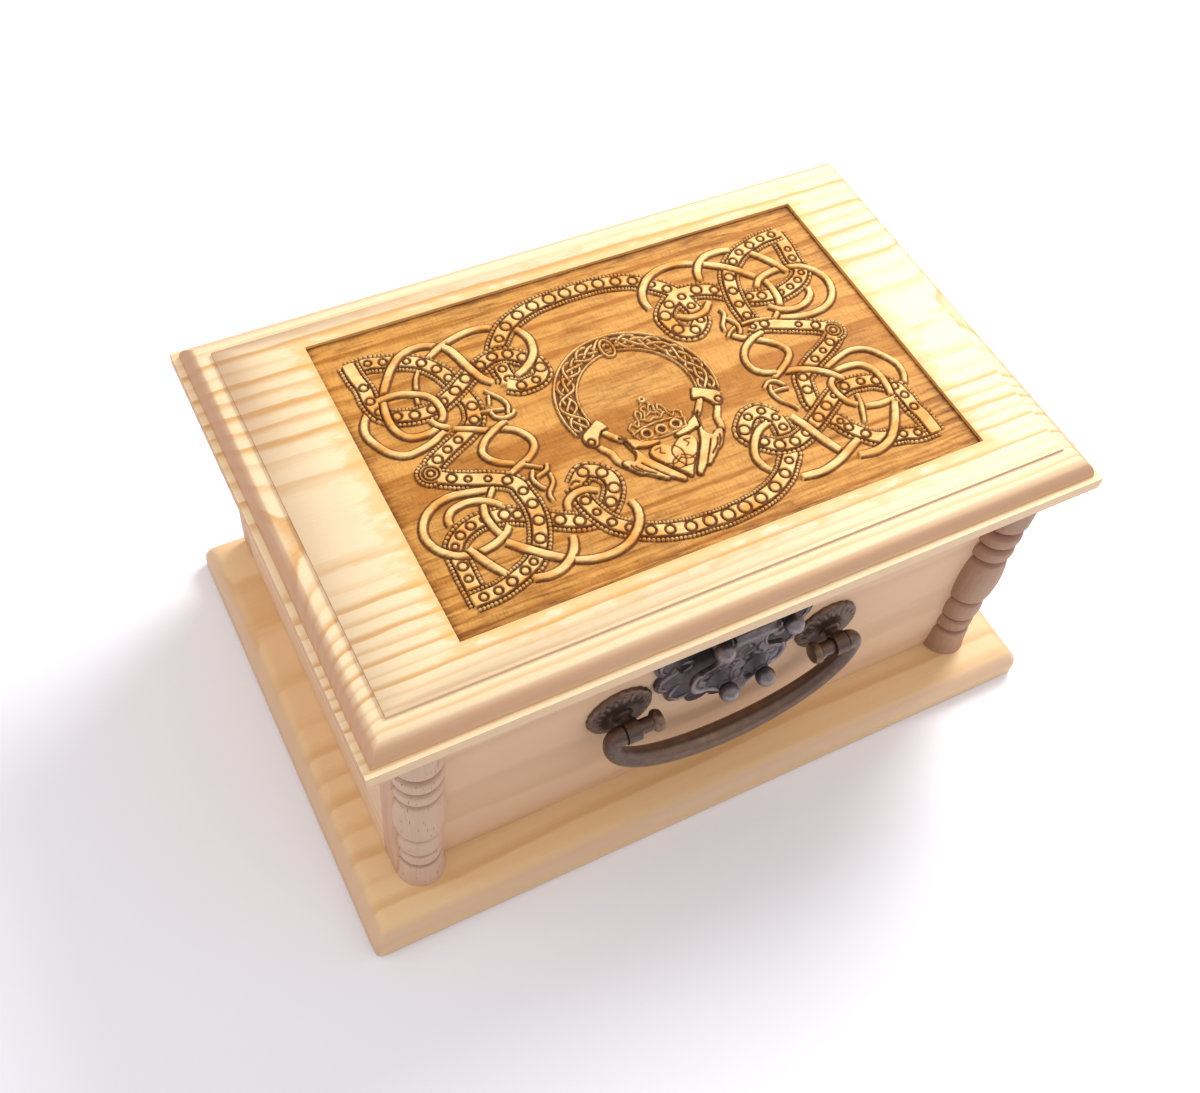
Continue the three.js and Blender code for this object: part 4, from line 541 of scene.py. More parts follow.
class Relief:
    """A carved face as a grid: how high each point stands, how clean it is, and how scorched and
    shaded, for that field holds the burn of the cuts and ground together with painted shade beside
    and along the raised parts.

    Fade is how wide the edge of a cut is and shoulder that of a strand. Pearl is a pearl's
    radius, pitch the distance between two, and line half the width of a ring cut round a boss.
    """

    fade = 0.3
    shoulder = 0.32
    pearl = 0.47
    pitch = 2.35 * pearl
    line = 0.36

    def __init__(self, low, high, step):
        self.step = step
        self.xs = np.linspace(low[0], high[0], int(round((high[0] - low[0]) / step)) + 1)
        self.ys = np.linspace(low[1], high[1], int(round((high[1] - low[1]) / step)) + 1)
        shape = (len(self.ys), len(self.xs))
        self.height = np.zeros(shape)
        self.clean = np.zeros(shape)
        self.scorch_and_shade = np.zeros(shape)

    def window(self, low, high):
        """The rows and columns between two corners."""
        x0, x1 = np.searchsorted(self.xs, (low[0], high[0]))
        y0, y1 = np.searchsorted(self.ys, (low[1], high[1]))
        return slice(max(y0 - 1, 0), y1 + 1), slice(max(x0 - 1, 0), x1 + 1)

    def about(self, x, y, reach):
        """A window about a point, with how far right and how far up of it each cell lies."""
        place = self.window((x - reach, y - reach), (x + reach, y + reach))
        return place, self.xs[None, place[1]] - x, self.ys[place[0], None] - y

    def measure(self, points, reach):
        """A curve's window, how far off it and along it each cell is, and the curve's length."""
        line, tangents, run = smooth_line(points, self.step)
        place = self.window(line.min(0) - reach, line.max(0) + reach)
        xs = self.xs[place[1]]
        ys = self.ys[place[0]]
        nearest = np.full((len(ys), len(xs)), 1e9)
        off = np.full(nearest.shape, 1e9)
        along = np.zeros(nearest.shape)
        for (x, y), (tx, ty), far in zip(line, tangents, run):
            i0, i1 = np.searchsorted(ys, (y - reach, y + reach))
            j0, j1 = np.searchsorted(xs, (x - reach, x + reach))
            dx = xs[None, j0:j1] - x
            dy = ys[i0:i1, None] - y
            square = dx * dx + dy * dy
            closer = square < nearest[i0:i1, j0:j1]
            nearest[i0:i1, j0:j1][closer] = square[closer]
            off[i0:i1, j0:j1][closer] = np.abs(tx * dy - ty * dx)[closer]
            along[i0:i1, j0:j1][closer] = (far + tx * dx + ty * dy)[closer]
        return place, off, along, run[-1]

    def lay(self, place, mask, height, clean, scorch_and_shade):
        """Puts a shape over what is there, where its mask says."""
        for field, value in ((self.height, height), (self.clean, clean), (self.scorch_and_shade, scorch_and_shade)):
            field[place] = field[place] * (1 - mask) + value * mask

    def ribbon(self, points, half, top=1.0, gap=0.55):
        """A plain strand with rounded shoulders, and a cut beside it where it passes over."""
        place, off, along, end = self.measure(points, half + gap + 1.2)
        within = np.minimum(along, end - along)
        width = half * (0.8 + 0.2 * np.clip(within / 4, 0, 1))
        # The cut beside the strand darkens for its burn, and as painted shade cast by the strand
        self.lay(place, ease(width + gap - off, self.fade) * ease(within, self.fade), 0, 0, 0.85)
        body = ease(width - off, self.shoulder) * ease(within + 0.2, 0.4)
        crown = top * (1 - 0.3 * np.clip(off / half, 0, 1) ** 2)
        # Towards its edges the strand's top darkens: painted shade on its rounded shoulders
        self.lay(place, body, crown, 1, 0.1 + 0.45 * ease(off - 0.75 * half, 0.5))

    def band(self, points, half):
        """A flat band with small pearls along both edges and jewels ringed on it."""
        row = half + self.pearl + 0.35
        place, off, along, end = self.measure(points, row + 1.6)
        within = np.minimum(along, end - along)
        ditch = ease(row + self.pearl + 0.3 - off, self.fade) * ease(within, self.fade)
        # The ditch beside the band darkens for its burn, and as painted shade cast by the band
        self.lay(place, ditch, 0, 0, 0.9)
        body = ease(half - off, self.shoulder) * ease(within + 0.2, 0.4)
        crown = 1 - 0.12 * np.clip(off / half, 0, 1) ** 3
        # Towards its edges the band's top darkens: painted shade on its shoulders
        self.lay(place, body, crown, 1, 0.05 + 0.6 * ease(off - half + 0.28, self.fade))
        pitch = end / max(round(end / self.pitch), 1)
        beside = np.mod(along, pitch) - pitch / 2
        away = np.hypot(beside, off - row)
        bead = ease(self.pearl - away, 0.25) * (within > 0)
        self.lay(place, bead, 0.8 * (1 - 0.35 * (away / self.pearl) ** 2), 1, 0.25)
        for point in points:
            if len(point) == 3:
                self.jewel(*point)

    def jewel(self, x, y, radius):
        """A round boss with a dark ring cut round it."""
        place, dx, dy = self.about(x, y, radius + 1)
        away = np.hypot(dx, dy)
        self.lay(place, ease(self.line - np.abs(away - radius), self.fade), 0.35, 0.1, 1)
        self.lay(place, ease(radius - 0.4 - away, self.fade), 1, 1, 0)

    def setting(self, x, y, radius):
        """A raised ring about a sunk middle."""
        place, dx, dy = self.about(x, y, radius + 1.2)
        away = np.hypot(dx, dy)
        self.lay(place, ease(radius + 0.5 - away, self.fade), 0, 0.2, 0.9)
        self.lay(place, ease(self.line - np.abs(away - radius), 0.25), 0.85, 1, 0.2)

    def disc(self, x, y, radius):
        """A round end where two bands meet, with two rings cut in it and pearls outside."""
        place, dx, dy = self.about(x, y, radius + 2)
        away = np.hypot(dx, dy)
        outside = dx * np.sign(x) > -0.5
        self.lay(place, ease(radius + 1.5 - away, self.fade) * outside, 0, 0, 0.9)
        self.lay(place, ease(radius - away, self.fade), 1, 1, 0.05)
        row = radius + self.pearl + 0.3
        count = round(2 * math.pi * row / self.pitch)
        turn = np.arctan2(dy, dx) / (2 * math.pi) * count
        beside = (np.mod(turn, 1) - 0.5) / count * 2 * math.pi * row
        bead = ease(self.pearl - np.hypot(beside, away - row), 0.25) * outside
        self.lay(place, bead, 0.75, 1, 0.25)
        self.jewel(x, y, 0.75 * radius)
        self.jewel(x, y, 0.36 * radius)

    def plate(self, outline):
        """A flat raised shape inside a smooth closed outline."""
        closed = [*outline, outline[0]]
        place, off, _, _ = self.measure(closed, 1.6)
        line, _, _ = smooth_line(closed, self.step)
        xs = self.xs[None, place[1]]
        ys = self.ys[place[0], None]
        inside = np.zeros(off.shape, bool)
        for (x0, y0), (x1, y1) in zip(line, line[1:]):
            if y0 != y1:
                level = (ys > min(y0, y1)) & (ys <= max(y0, y1))
                inside ^= level & (xs < x0 + (ys - y0) / (y1 - y0) * (x1 - x0))
        depth = np.where(inside, np.minimum(off, 9), -np.minimum(off, 9))
        self.lay(place, ease(depth + 0.45, self.fade), 0, 0, 0.85)
        scorch_and_shade = 0.05 + 0.5 * ease(0.3 - depth, self.fade)
        self.lay(place, ease(depth, self.fade), 1, 1, scorch_and_shade)

    def cut(self, points, half=0.26, depth=0.5):
        """A narrow dark line cut into what is there."""
        place, off, along, end = self.measure(points, half + 0.8)
        mask = ease(half - off, self.fade) * ease(np.minimum(along, end - along) + 0.2, 0.4)
        self.lay(place, mask, np.maximum(self.height[place] - depth, 0), 0.2, 0.95)

    def sample(self, field, x, y):
        """A field's value at these points, straight between its cells."""
        i = np.clip((y - self.ys[0]) / (self.ys[1] - self.ys[0]), 0, len(self.ys) - 1.001)
        j = np.clip((x - self.xs[0]) / (self.xs[1] - self.xs[0]), 0, len(self.xs) - 1.001)
        down = i.astype(int)
        across = j.astype(int)
        u = i - down
        v = j - across
        upper = field[down, across] * (1 - v) + field[down, across + 1] * v
        lower = field[down + 1, across] * (1 - v) + field[down + 1, across + 1] * v
        return upper * (1 - u) + lower * u


def carve_floor(relief):
    """The ground between the ornaments, ridged along the grain and darker towards the walls."""
    shape = relief.height.shape
    ys = relief.ys[:, None]
    drift = RIDGE_DRIFT * soft_noise(shape, (6, 9), 3)
    front = np.clip((RIDGE_FRONT[0] - ys) / RIDGE_FRONT[1], 0, 1)
    back = np.clip((ys - RIDGE_BACK[0]) / RIDGE_BACK[1], 0, 1)
    ridges = np.maximum(0, np.sin((ys + drift) * 2 * math.pi / RIDGE_PITCH)) ** 3
    ridges *= np.maximum(front, back)
    relief.height += 0.2 * ridges
    relief.height += 0.03 * soft_noise(shape, (150, 60), 5) + 0.05
    relief.scorch_and_shade += 0.18 + 0.14 * soft_noise(shape, (9, 13), 7)
    relief.scorch_and_shade += 0.2 * ridges
    for distance in (relief.xs[None, :] - relief.xs[0], relief.xs[-1] - relief.xs[None, :],
                     ys - relief.ys[0], relief.ys[-1] - ys):
        relief.scorch_and_shade += 0.5 * np.exp(-distance / 1.3)


def carve_ring(relief):
    """The braided ring, open below, of thin strands in a dark band."""
    x0, y0 = RING_MIDDLE
    inner, outer = RING_RADII
    middle = (inner + outer) / 2
    place, dx, dy = relief.about(x0, y0, outer + 2)
    away = np.hypot(dx, dy)
    belt = ease(outer + 0.5 - away, 0.6) * ease(away - inner + 0.5, 0.6)
    relief.lay(place, belt * (dy > RING_OPENING), 0.05, 0.15, 0.8)
    turns = np.linspace(*np.radians(RING_TURNS), BRAID_POINTS)
    strands = []
    for swing, start in BRAID_STRANDS:
        radius = middle + swing * np.sin(BRAID_WAVES * turns + start)
        strands.append(np.column_stack([x0 + radius * np.cos(turns), y0 + radius * np.sin(turns)]))
    for count, first in enumerate(range(0, BRAID_POINTS - 1, BRAID_STRETCH)):
        for strand in strands[:: 1 if count % 2 else -1]:
            stretch = strand[first:first + BRAID_STRETCH + 4:4]
            relief.ribbon(stretch, 0.42, top=0.85, gap=0.3)
    for radius, half in ((outer, 0.36), (inner, 0.3)):
        border = np.column_stack([x0 + radius * np.cos(turns), y0 + radius * np.sin(turns)])
        relief.ribbon(border[::10], half, top=0.8, gap=0.25)
    loop = np.linspace(0, 2 * math.pi, 13)
    knot = np.column_stack([x0 + 1.9 * np.cos(loop), y0 + middle - 1.6 + 3.2 * np.sin(loop)])
    relief.ribbon(knot, 0.4, top=0.95, gap=0.3)


def carve_emblem(relief):
    """Two cuffed hands, the heart that they hold and the crown over it."""
    for side in SIDES:
        relief.ribbon(mirrored(SLEEVE_OUTER, side, EMBLEM_MIDDLE), 0.95, gap=0.4)
        relief.ribbon(mirrored(SLEEVE_INNER, side, EMBLEM_MIDDLE), 0.95, gap=0.4)
        for outline in (PALM, THUMB, CUFF):
            relief.plate(mirrored(outline, side, EMBLEM_MIDDLE))
        for line in FINGER_LINES:
            relief.cut(mirrored(line, side, EMBLEM_MIDDLE))
        relief.jewel(*mirrored((CUFF_BUTTON,), side, EMBLEM_MIDDLE)[0])
    right = mirrored(HEART, 1, EMBLEM_MIDDLE)
    left = mirrored(HEART[1:-1], -1, EMBLEM_MIDDLE)
    relief.plate(right + left[::-1])
    for side in SIDES:
        for line in HEART_LINES:
            relief.cut(mirrored(line, side, EMBLEM_MIDDLE), half=0.22, depth=0.3)
        for line in CROWN_LINES:
            relief.ribbon(mirrored(line, side, EMBLEM_MIDDLE), 0.34, top=0.75, gap=0.25)
    for x, y, radius in CROWN_RINGS:
        relief.setting(EMBLEM_MIDDLE + x, y, radius)


# Meshes

# A direction that no bar here starts along
ASKEW = (0.31, 0.27, 0.91)


def new_object(name, data):
    """An object with this data, put in the scene."""
    made = bpy.data.objects.new(name, data)
    bpy.context.scene.collection.objects.link(made)
    return made


def piece(name, points, faces, body, material, stands_for=(), sharp=SHARP_ANGLE,
          painted=None):
    """A mesh from points in millimetres, moving with a body and dressed in a material.

    Painted holds a number for each point under a name that the material reads.
    """
    mesh = bpy.data.meshes.new(name)
    mesh.from_pydata((np.asarray(points, float) * MM).tolist(), [], faces)
    for key, values in (painted or {}).items():
        attribute = mesh.attributes.new(key, "FLOAT", "POINT")
        attribute.data.foreach_set("value", np.asarray(values, np.float32).ravel())
    return finish_piece(mesh, body, material, stands_for, sharp)


def finish_piece(mesh, body, material, stands_for, sharp=SHARP_ANGLE):
    """Gives a mesh clean outward faces and shading, its object, body and material."""
    form = bmesh.new()
    form.from_mesh(mesh)
    bmesh.ops.remove_doubles(form, verts=form.verts, dist=1e-7)
    bmesh.ops.recalc_face_normals(form, faces=form.faces)
    form.to_mesh(mesh)
    form.free()
    mesh.shade_smooth()
    mesh.set_sharp_from_angle(angle=math.radians(sharp))
    mesh.materials.clear()
    mesh.materials.append(material)
    made = new_object(mesh.name, mesh)
    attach(made, body)
    if stands_for:
        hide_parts(*stands_for)
    return made


def dressed(node, body, material, bevel, without=None):
    """A frame node's own shape with its flats joined and its edges rounded, standing for it.

    Without is a box in millimetres whose faces are taken off and closed with a flat one.
    """
    form = bmesh.new()
    form.from_mesh(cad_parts[node].data)
    bmesh.ops.remove_doubles(form, verts=form.verts, dist=1e-6)
    if without:
        low, high = (np.array(corner) * MM for corner in without)
        centres = np.array([face.calc_center_median() for face in form.faces])
        held = np.all((centres > low) & (centres < high), axis=1)
        inside = [face for face, within in zip(form.faces, held) if within]
        bmesh.ops.delete(form, geom=inside, context="FACES")
        bmesh.ops.holes_fill(form, edges=[edge for edge in form.edges if edge.is_boundary])
    bmesh.ops.dissolve_limit(form, angle_limit=math.radians(0.6), verts=form.verts,
                             edges=form.edges)
    mesh = bpy.data.meshes.new(node + "_dressed")
    form.to_mesh(mesh)
    form.free()
    made = finish_piece(mesh, body, material, (node,))
    if bevel:
        modifier = made.modifiers.new("Rounded edges", "BEVEL")
        modifier.width = bevel * MM
        modifier.segments = 3
        modifier.limit_method = "ANGLE"
        modifier.angle_limit = math.radians(SHARP_ANGLE)
        modifier.harden_normals = True
    return made


def grid_faces(rows, columns, first=0, closed=False, flip=False):
    """Four-sided faces between rows of points, and round from the last to the first if closed."""
    index = first + np.arange(rows * columns).reshape(rows, columns)
    if closed:
        index = np.hstack([index, index[:, :1]])
    corners = [index[:-1, :-1], index[:-1, 1:], index[1:, 1:], index[1:, :-1]]
    faces = np.stack(corners[::-1] if flip else corners, -1)
    return faces.reshape(-1, 4).tolist()


def lathe(profile, centre, axis, sides):
    """Points and faces of (radius, along) pairs turned about an axis through a centre."""
    axis = np.array(axis, float)
    across = np.array((0, 0, 1)) if abs(axis[2]) < 0.5 else np.array((1, 0, 0))
    beside = np.cross(axis, across)
    turns = np.linspace(0, 2 * math.pi, sides, endpoint=False)
    ring = np.cos(turns)[:, None] * across + np.sin(turns)[:, None] * beside
    points = [np.array(centre) + radius * ring + along * axis for radius, along in profile]
    return np.vstack(points), grid_faces(len(profile), sides, closed=True)


def tube(path, radii, sides):
    """Points and faces of a round bar along a path, with its ends closed."""
    path = np.asarray(path, float)
    radii = np.broadcast_to(radii, len(path))
    tangents = np.gradient(path, axis=0)
    tangents /= np.linalg.norm(tangents, axis=1)[:, None]
    across = np.cross(tangents[0], ASKEW)
    turns = np.linspace(0, 2 * math.pi, sides, endpoint=False)
    points = []
    for place, tangent, radius in zip(path, tangents, radii):
        across = across - tangent * np.dot(tangent, across)
        across = across / np.linalg.norm(across)
        beside = np.cross(tangent, across)
        points.append(place + radius * (np.cos(turns)[:, None] * across
                                        + np.sin(turns)[:, None] * beside))
    faces = grid_faces(len(path), sides, closed=True)
    faces.append(list(range(sides))[::-1])
    faces.append(list(range((len(path) - 1) * sides, len(path) * sides)))
    return np.vstack(points), faces


def sheet_between(front, back):
    """Points and faces of a closed sheet between two grids of points of the same shape."""
    rows, columns, _ = front.shape
    count = rows * columns
    faces = grid_faces(rows, columns) + grid_faces(rows, columns, first=count, flip=True)
    index = np.arange(count).reshape(rows, columns)
    rim = np.concatenate([index[0, :-1], index[:-1, -1], index[-1, :0:-1], index[:0:-1, 0]])
    following = np.roll(rim, -1)
    faces += np.stack([following, rim, rim + count, following + count], -1).tolist()
    return np.vstack([front.reshape(-1, 3), back.reshape(-1, 3)]), faces


def joined(*parts):
    """Several sets of points and faces as one."""
    points = []
    faces = []
    count = 0
    for part_points, part_faces in parts:
        points.append(part_points)
        faces += [[count + corner for corner in face] for face in part_faces]
        count += len(part_points)
    return np.vstack(points), faces


# Materials


def srgb(red, green, blue):
    """A colour on the usual 0 to 255 scale as the linear values that materials take."""
    shares = (red / 255, green / 255, blue / 255)
    return tuple(share / 12.92 if share <= 0.04045 else ((share + 0.055) / 1.055) ** 2.4
                 for share in shares)


class Tree:
    """Adds nodes to a node tree, with their values or links given by name."""

    def __init__(self, tree):
        self.tree = tree

    def feed(self, socket, value):
        """Links a node's input to another's output, or sets it to a plain value."""
        if isinstance(value, bpy.types.NodeSocket):
            self.tree.links.new(value, socket)
        else:
            socket.default_value = value

    def add(self, kind, values=None, **settings):
        """A new node with these settings, and these values at its inputs."""
        made = self.tree.nodes.new(kind)
        for name, value in settings.items():
            setattr(made, name, value)
        for name, value in (values or {}).items():
            self.feed(made.inputs[name], value)
        return made

    def math(self, operation, *values):
        """What a Math node makes of these values."""
        made = self.add("ShaderNodeMath", operation=operation)
        for socket, value in zip(made.inputs, values):
            self.feed(socket, value)
        return made.outputs[0]

    def vector(self, operation, *values):
        """What a Vector Math node makes of these values."""
        made = self.add("ShaderNodeVectorMath", operation=operation)
        for socket, value in zip(made.inputs, values):
            self.feed(socket, value)
        return made.outputs["Value" if operation == "LENGTH" else "Vector"]

    def noise(self, place, stretch, detail=2.0, rough=0.5):
        """Noise of about one cell per stretch, from 0 to 1, where place is in millimetres."""
        scaled = self.vector("DIVIDE", place, stretch)
        made = self.add("ShaderNodeTexNoise", {"Vector": scaled, "Scale": 1.0, "Detail": detail,
                                               "Roughness": rough})
        return made.outputs["Fac"]

    def span(self, value, low, high, to_low=0.0, to_high=1.0):
        """A value moved from one range to another, eased and held at its ends."""
        made = self.add("ShaderNodeMapRange", {"Value": value, "From Min": low, "From Max": high,
                                               "To Min": to_low, "To Max": to_high})
        made.interpolation_type = "SMOOTHSTEP"
        return made.outputs["Result"]

    def group(self, name, make, values):
        """A node group with these values, made the first time that it is asked for."""
        group = bpy.data.node_groups.get(name) or make()
        return self.add("ShaderNodeGroup", values, node_tree=group).outputs

    def blend(self, share, first, second, kind="MIX"):
        """Two colours mixed by a share."""
        made = self.add("ShaderNodeMix", data_type="RGBA", blend_type=kind)
        for index, value in ((0, share), (6, first), (7, second)):
            self.feed(made.inputs[index], value)
        return made.outputs[2]


def new_group(name, inputs, outputs):
    """A shader node group with these sockets: its tree helper, its input and its output node."""
    group = bpy.data.node_groups.new(name, "ShaderNodeTree")
    for socket_name, kind, default in inputs:
        socket = group.interface.new_socket(name=socket_name, in_out="INPUT", socket_type=kind)
        if default is not None:
            socket.default_value = default
    for socket_name, kind in outputs:
        group.interface.new_socket(name=socket_name, in_out="OUTPUT", socket_type=kind)
    tree = Tree(group)
    return tree, tree.add("NodeGroupInput").outputs, tree.add("NodeGroupOutput").inputs


def pine_group():
    """Growth rings round a pith, fine fibres and short pores, with the grain along X.

    Lean crowds the rings on the near side of the pith. End is 1 on end grain, where the rings
    read darker. Line is the mark of the rings alone.
    """
    tree, given, out = new_group(
        "Pine Grain",
        (("Place", "NodeSocketVector", None), ("Pith", "NodeSocketVector", None),
         ("Ring Width", "NodeSocketFloat", 3.0), ("Waver", "NodeSocketFloat", 6.0),
         ("Lean", "NodeSocketFloat", 0.0), ("Pale", "NodeSocketColor", None),
         ("Late", "NodeSocketColor", None), ("Flecks", "NodeSocketFloat", 0.3),
         ("End", "NodeSocketFloat", 0.0)),
        (("Color", "NodeSocketColor"), ("Height", "NodeSocketFloat"),
         ("Line", "NodeSocketFloat")))
    place = given["Place"]
    off = tree.vector("MULTIPLY", tree.vector("SUBTRACT", place, given["Pith"]), (0.0, 1.0, 1.0))
    wave = tree.math("SUBTRACT", tree.noise(place, (130.0, 30.0, 30.0), 1.5), 0.5)
    ripple = tree.math("SUBTRACT", tree.noise(place, (16.0, 3.0, 3.0), 2.0), 0.5)
    radius = tree.math("ADD", tree.vector("LENGTH", off),
                       tree.math("MULTIPLY", wave, given["Waver"]))
    radius = tree.math("ADD", radius, ripple)
    across = tree.add("ShaderNodeSeparateXYZ", {"Vector": off}).outputs["Y"]
    radius = tree.math("SUBTRACT", radius, tree.math("MULTIPLY", across, given["Lean"]))
    count = tree.math("DIVIDE", radius, given["Ring Width"])
    share = tree.math("FRACT", count)
    late = tree.math("MULTIPLY", tree.span(share, 0.35, 0.86), tree.span(share, 0.84, 1, 1, 0))
    strength = tree.add("ShaderNodeTexWhiteNoise", {"W": tree.math("FLOOR", count)},
                        noise_dimensions="1D").outputs["Value"]
    late = tree.math("MULTIPLY", late, tree.span(strength, 0, 1, 0.35, 1.1))
    fibre = tree.noise(place, (26.0, 0.6, 0.6), 4.0, 0.65)
    pores = tree.span(tree.noise(place, (5.0, 0.55, 0.55), 1.5), 0.66, 0.74)
    cloud = tree.noise(place, (60.0, 22.0, 22.0), 2.0)
    tint = tree.math("MULTIPLY", late, tree.span(given["End"], 0, 1, 1, 2.0))
    tint = tree.math("ADD", tint, tree.math("MULTIPLY", given["End"], 0.5))
    tint = tree.math("ADD", tint, tree.math("MULTIPLY", tree.math("SUBTRACT", fibre, 0.5), 0.5))
    tint = tree.math("ADD", tint, tree.math("MULTIPLY", tree.math("SUBTRACT", cloud, 0.45), 0.4))
    tint = tree.math("ADD", tint, tree.math("MULTIPLY", pores, given["Flecks"]))
    clear = tree.add("ShaderNodeClamp", {"Value": tint}).outputs[0]
    tree.feed(out["Color"], tree.blend(clear, given["Pale"], given["Late"]))
    tree.feed(out["Height"], tree.math("SUBTRACT", fibre, tree.math("MULTIPLY", late, 0.6)))
    tree.feed(out["Line"], late)
    return tree.tree


def halo_group():
    """A scorched mark round a flat box, broken up like the trace of a flame."""
    tree, given, out = new_group(
        "Scorch Halo",
        (("Place", "NodeSocketVector", None), ("Middle", "NodeSocketVector", None),
         ("Half", "NodeSocketVector", None), ("Reach", "NodeSocketFloat", 3.0)),
        (("Fac", "NodeSocketFloat"),))
    off = tree.vector("ABSOLUTE", tree.vector("SUBTRACT", given["Place"], given["Middle"]))
    off = tree.vector("MAXIMUM", tree.vector("SUBTRACT", off, given["Half"]), (0.0, 0.0, 0.0))
    away = tree.vector("LENGTH", off)
    rag = tree.noise(given["Place"], (7.0, 3.0, 3.0), 3.0)
    reach = tree.math("MULTIPLY", given["Reach"], tree.span(rag, 0.3, 0.75, 0.2, 1.8))
    tree.feed(out["Fac"], tree.span(tree.math("DIVIDE", away, reach), 0, 1, 1, 0))
    return tree.tree


def patina_group():
    """Dark old bronze, mottled, with a lighter worn metal where a piece says that it is rubbed."""
    tree, given, out = new_group(
        "Patina",
        (("Place", "NodeSocketVector", None), ("Dark", "NodeSocketColor", None),
         ("Worn", "NodeSocketColor", None), ("Rub", "NodeSocketFloat", 0.0)),
        (("Color", "NodeSocketColor"), ("Roughness", "NodeSocketFloat"),
         ("Height", "NodeSocketFloat")))
    mottle = tree.noise(given["Place"], (2.6, 2.6, 2.6), 4.0, 0.6)
    grit = tree.noise(given["Place"], (0.4, 0.4, 0.4), 3.0, 0.6)
    wear = tree.math("ADD", given["Rub"], tree.span(mottle, 0.4, 0.8, -0.08, 0.22))
    wear = tree.math("ADD", wear, tree.span(grit, 0.35, 0.8, -0.06, 0.14))
    wear = tree.add("ShaderNodeClamp", {"Value": wear}).outputs[0]
    tree.feed(out["Color"], tree.blend(wear, given["Dark"], given["Worn"]))
    tree.feed(out["Roughness"], tree.span(mottle, 0.2, 0.8, 0.42, 0.28))
    tree.feed(out["Height"], tree.math("ADD", grit, mottle))
    return tree.tree


def start_material(name, metallic=0.0, roughness=0.5):
    """A new material: its tree helper, its principled shader and its place in millimetres."""
    made = bpy.data.materials.new(name)
    made.use_nodes = True
    tree = Tree(made.node_tree)
    shader = made.node_tree.nodes["Principled BSDF"]
    shader.inputs["Metallic"].default_value = metallic
    shader.inputs["Roughness"].default_value = roughness
    place = tree.vector("MULTIPLY", tree.add("ShaderNodeTexCoord").outputs["Object"],
                        (1 / MM, 1 / MM, 1 / MM))
    return made, tree, shader, place


def raise_surface(tree, shader, height, depth):
    """Gives a shader a bump of this depth, in metres."""
    bump = tree.add("ShaderNodeBump", {"Height": height, "Strength": 0.5, "Distance": depth})
    tree.feed(shader.inputs["Normal"], bump.outputs["Normal"])


def turned_place(tree, place, grain):
    """A place with the grain's direction put along X."""
    if grain == "X":
        return place
    parts = tree.add("ShaderNodeSeparateXYZ", {"Vector": place}).outputs
    order = {"Y": ("Y", "X", "Z"), "Z": ("Z", "X", "Y")}[grain]
    return tree.add("ShaderNodeCombineXYZ",
                    {axis: parts[source] for axis, source in zip("XYZ", order)}).outputs[0]


def scorched_rim(tree, place, colour):
    """A wood's colour with the trace of the flame round the sunk panel."""
    middle = ((PANEL_X[0] + PANEL_X[1]) / 2, (PANEL_Y[0] + PANEL_Y[1]) / 2, LID_HIGH.z)
    half = ((PANEL_X[1] - PANEL_X[0]) / 2, (PANEL_Y[1] - PANEL_Y[0]) / 2, PANEL_SUNK)
    mark = tree.group("Scorch Halo", halo_group, {"Place": place, "Middle": middle,
                                                  "Half": half, "Reach": SCORCH_REACH})
    share = tree.math("MULTIPLY", mark["Fac"], SCORCH_SHARE)
    return tree.blend(share, colour, (*options().scorched_edge, 1))


def pine(name, grain, rings, pale, late, edge_shade=None, scorched=False):
    """Bare pine with its grain along an axis, its growth rings and its two colours.

    Edge shade is painted shade: a colour that darkens the faces which turn from facing up, most
    where they slope and less where they stand upright.
    """
    found = bpy.data.materials.get(name)
    if found:
        return found
    made, tree, shader, place = start_material(name, roughness=0.55)
    facing = tree.vector("ABSOLUTE", tree.add("ShaderNodeTexCoord").outputs["Normal"])
    facing = tree.add("ShaderNodeSeparateXYZ", {"Vector": facing}).outputs
    end = tree.span(facing[grain], 0.25, 0.9)
    wood = tree.group("Pine Grain", pine_group, {
        "Place": turned_place(tree, place, grain), "Pale": (*pale, 1), "Late": (*late, 1),
        "End": end, **rings})
    colour = tree.blend(end, wood["Color"], (*END_GRAIN, 1), "MULTIPLY")
    if edge_shade:
        # Painted shade: sloped and upright faces are darkened towards the edge-shade colour by how
        # far they turn from facing up
        edge = tree.math("MULTIPLY", tree.span(facing["Z"], 0.75, 0.99, 0.85, 0),
                         tree.span(facing["Z"], 0.05, 0.4, 0.45, 1))
        colour = tree.blend(edge, colour, (*edge_shade, 1))
    if scorched:
        colour = scorched_rim(tree, place, colour)
    tree.feed(shader.inputs["Base Color"], colour)
    raise_surface(tree, shader, wood["Height"], WOOD_DEPTH)
    return made


def bronze(name, dark, worn):
    """Old metal that reads its rubbed places from the piece."""
    found = bpy.data.materials.get(name)
    if found:
        return found
    made, tree, shader, place = start_material(name, metallic=0.75)
    rub = tree.add("ShaderNodeAttribute", attribute_name="Rub").outputs["Fac"]
    metal = tree.group("Patina", patina_group, {"Place": place, "Dark": (*dark, 1),
                                                "Worn": (*worn, 1), "Rub": rub})
    tree.feed(shader.inputs["Base Color"], metal["Color"])
    tree.feed(shader.inputs["Roughness"], metal["Roughness"])
    raise_surface(tree, shader, metal["Height"], METAL_DEPTH)
    return made


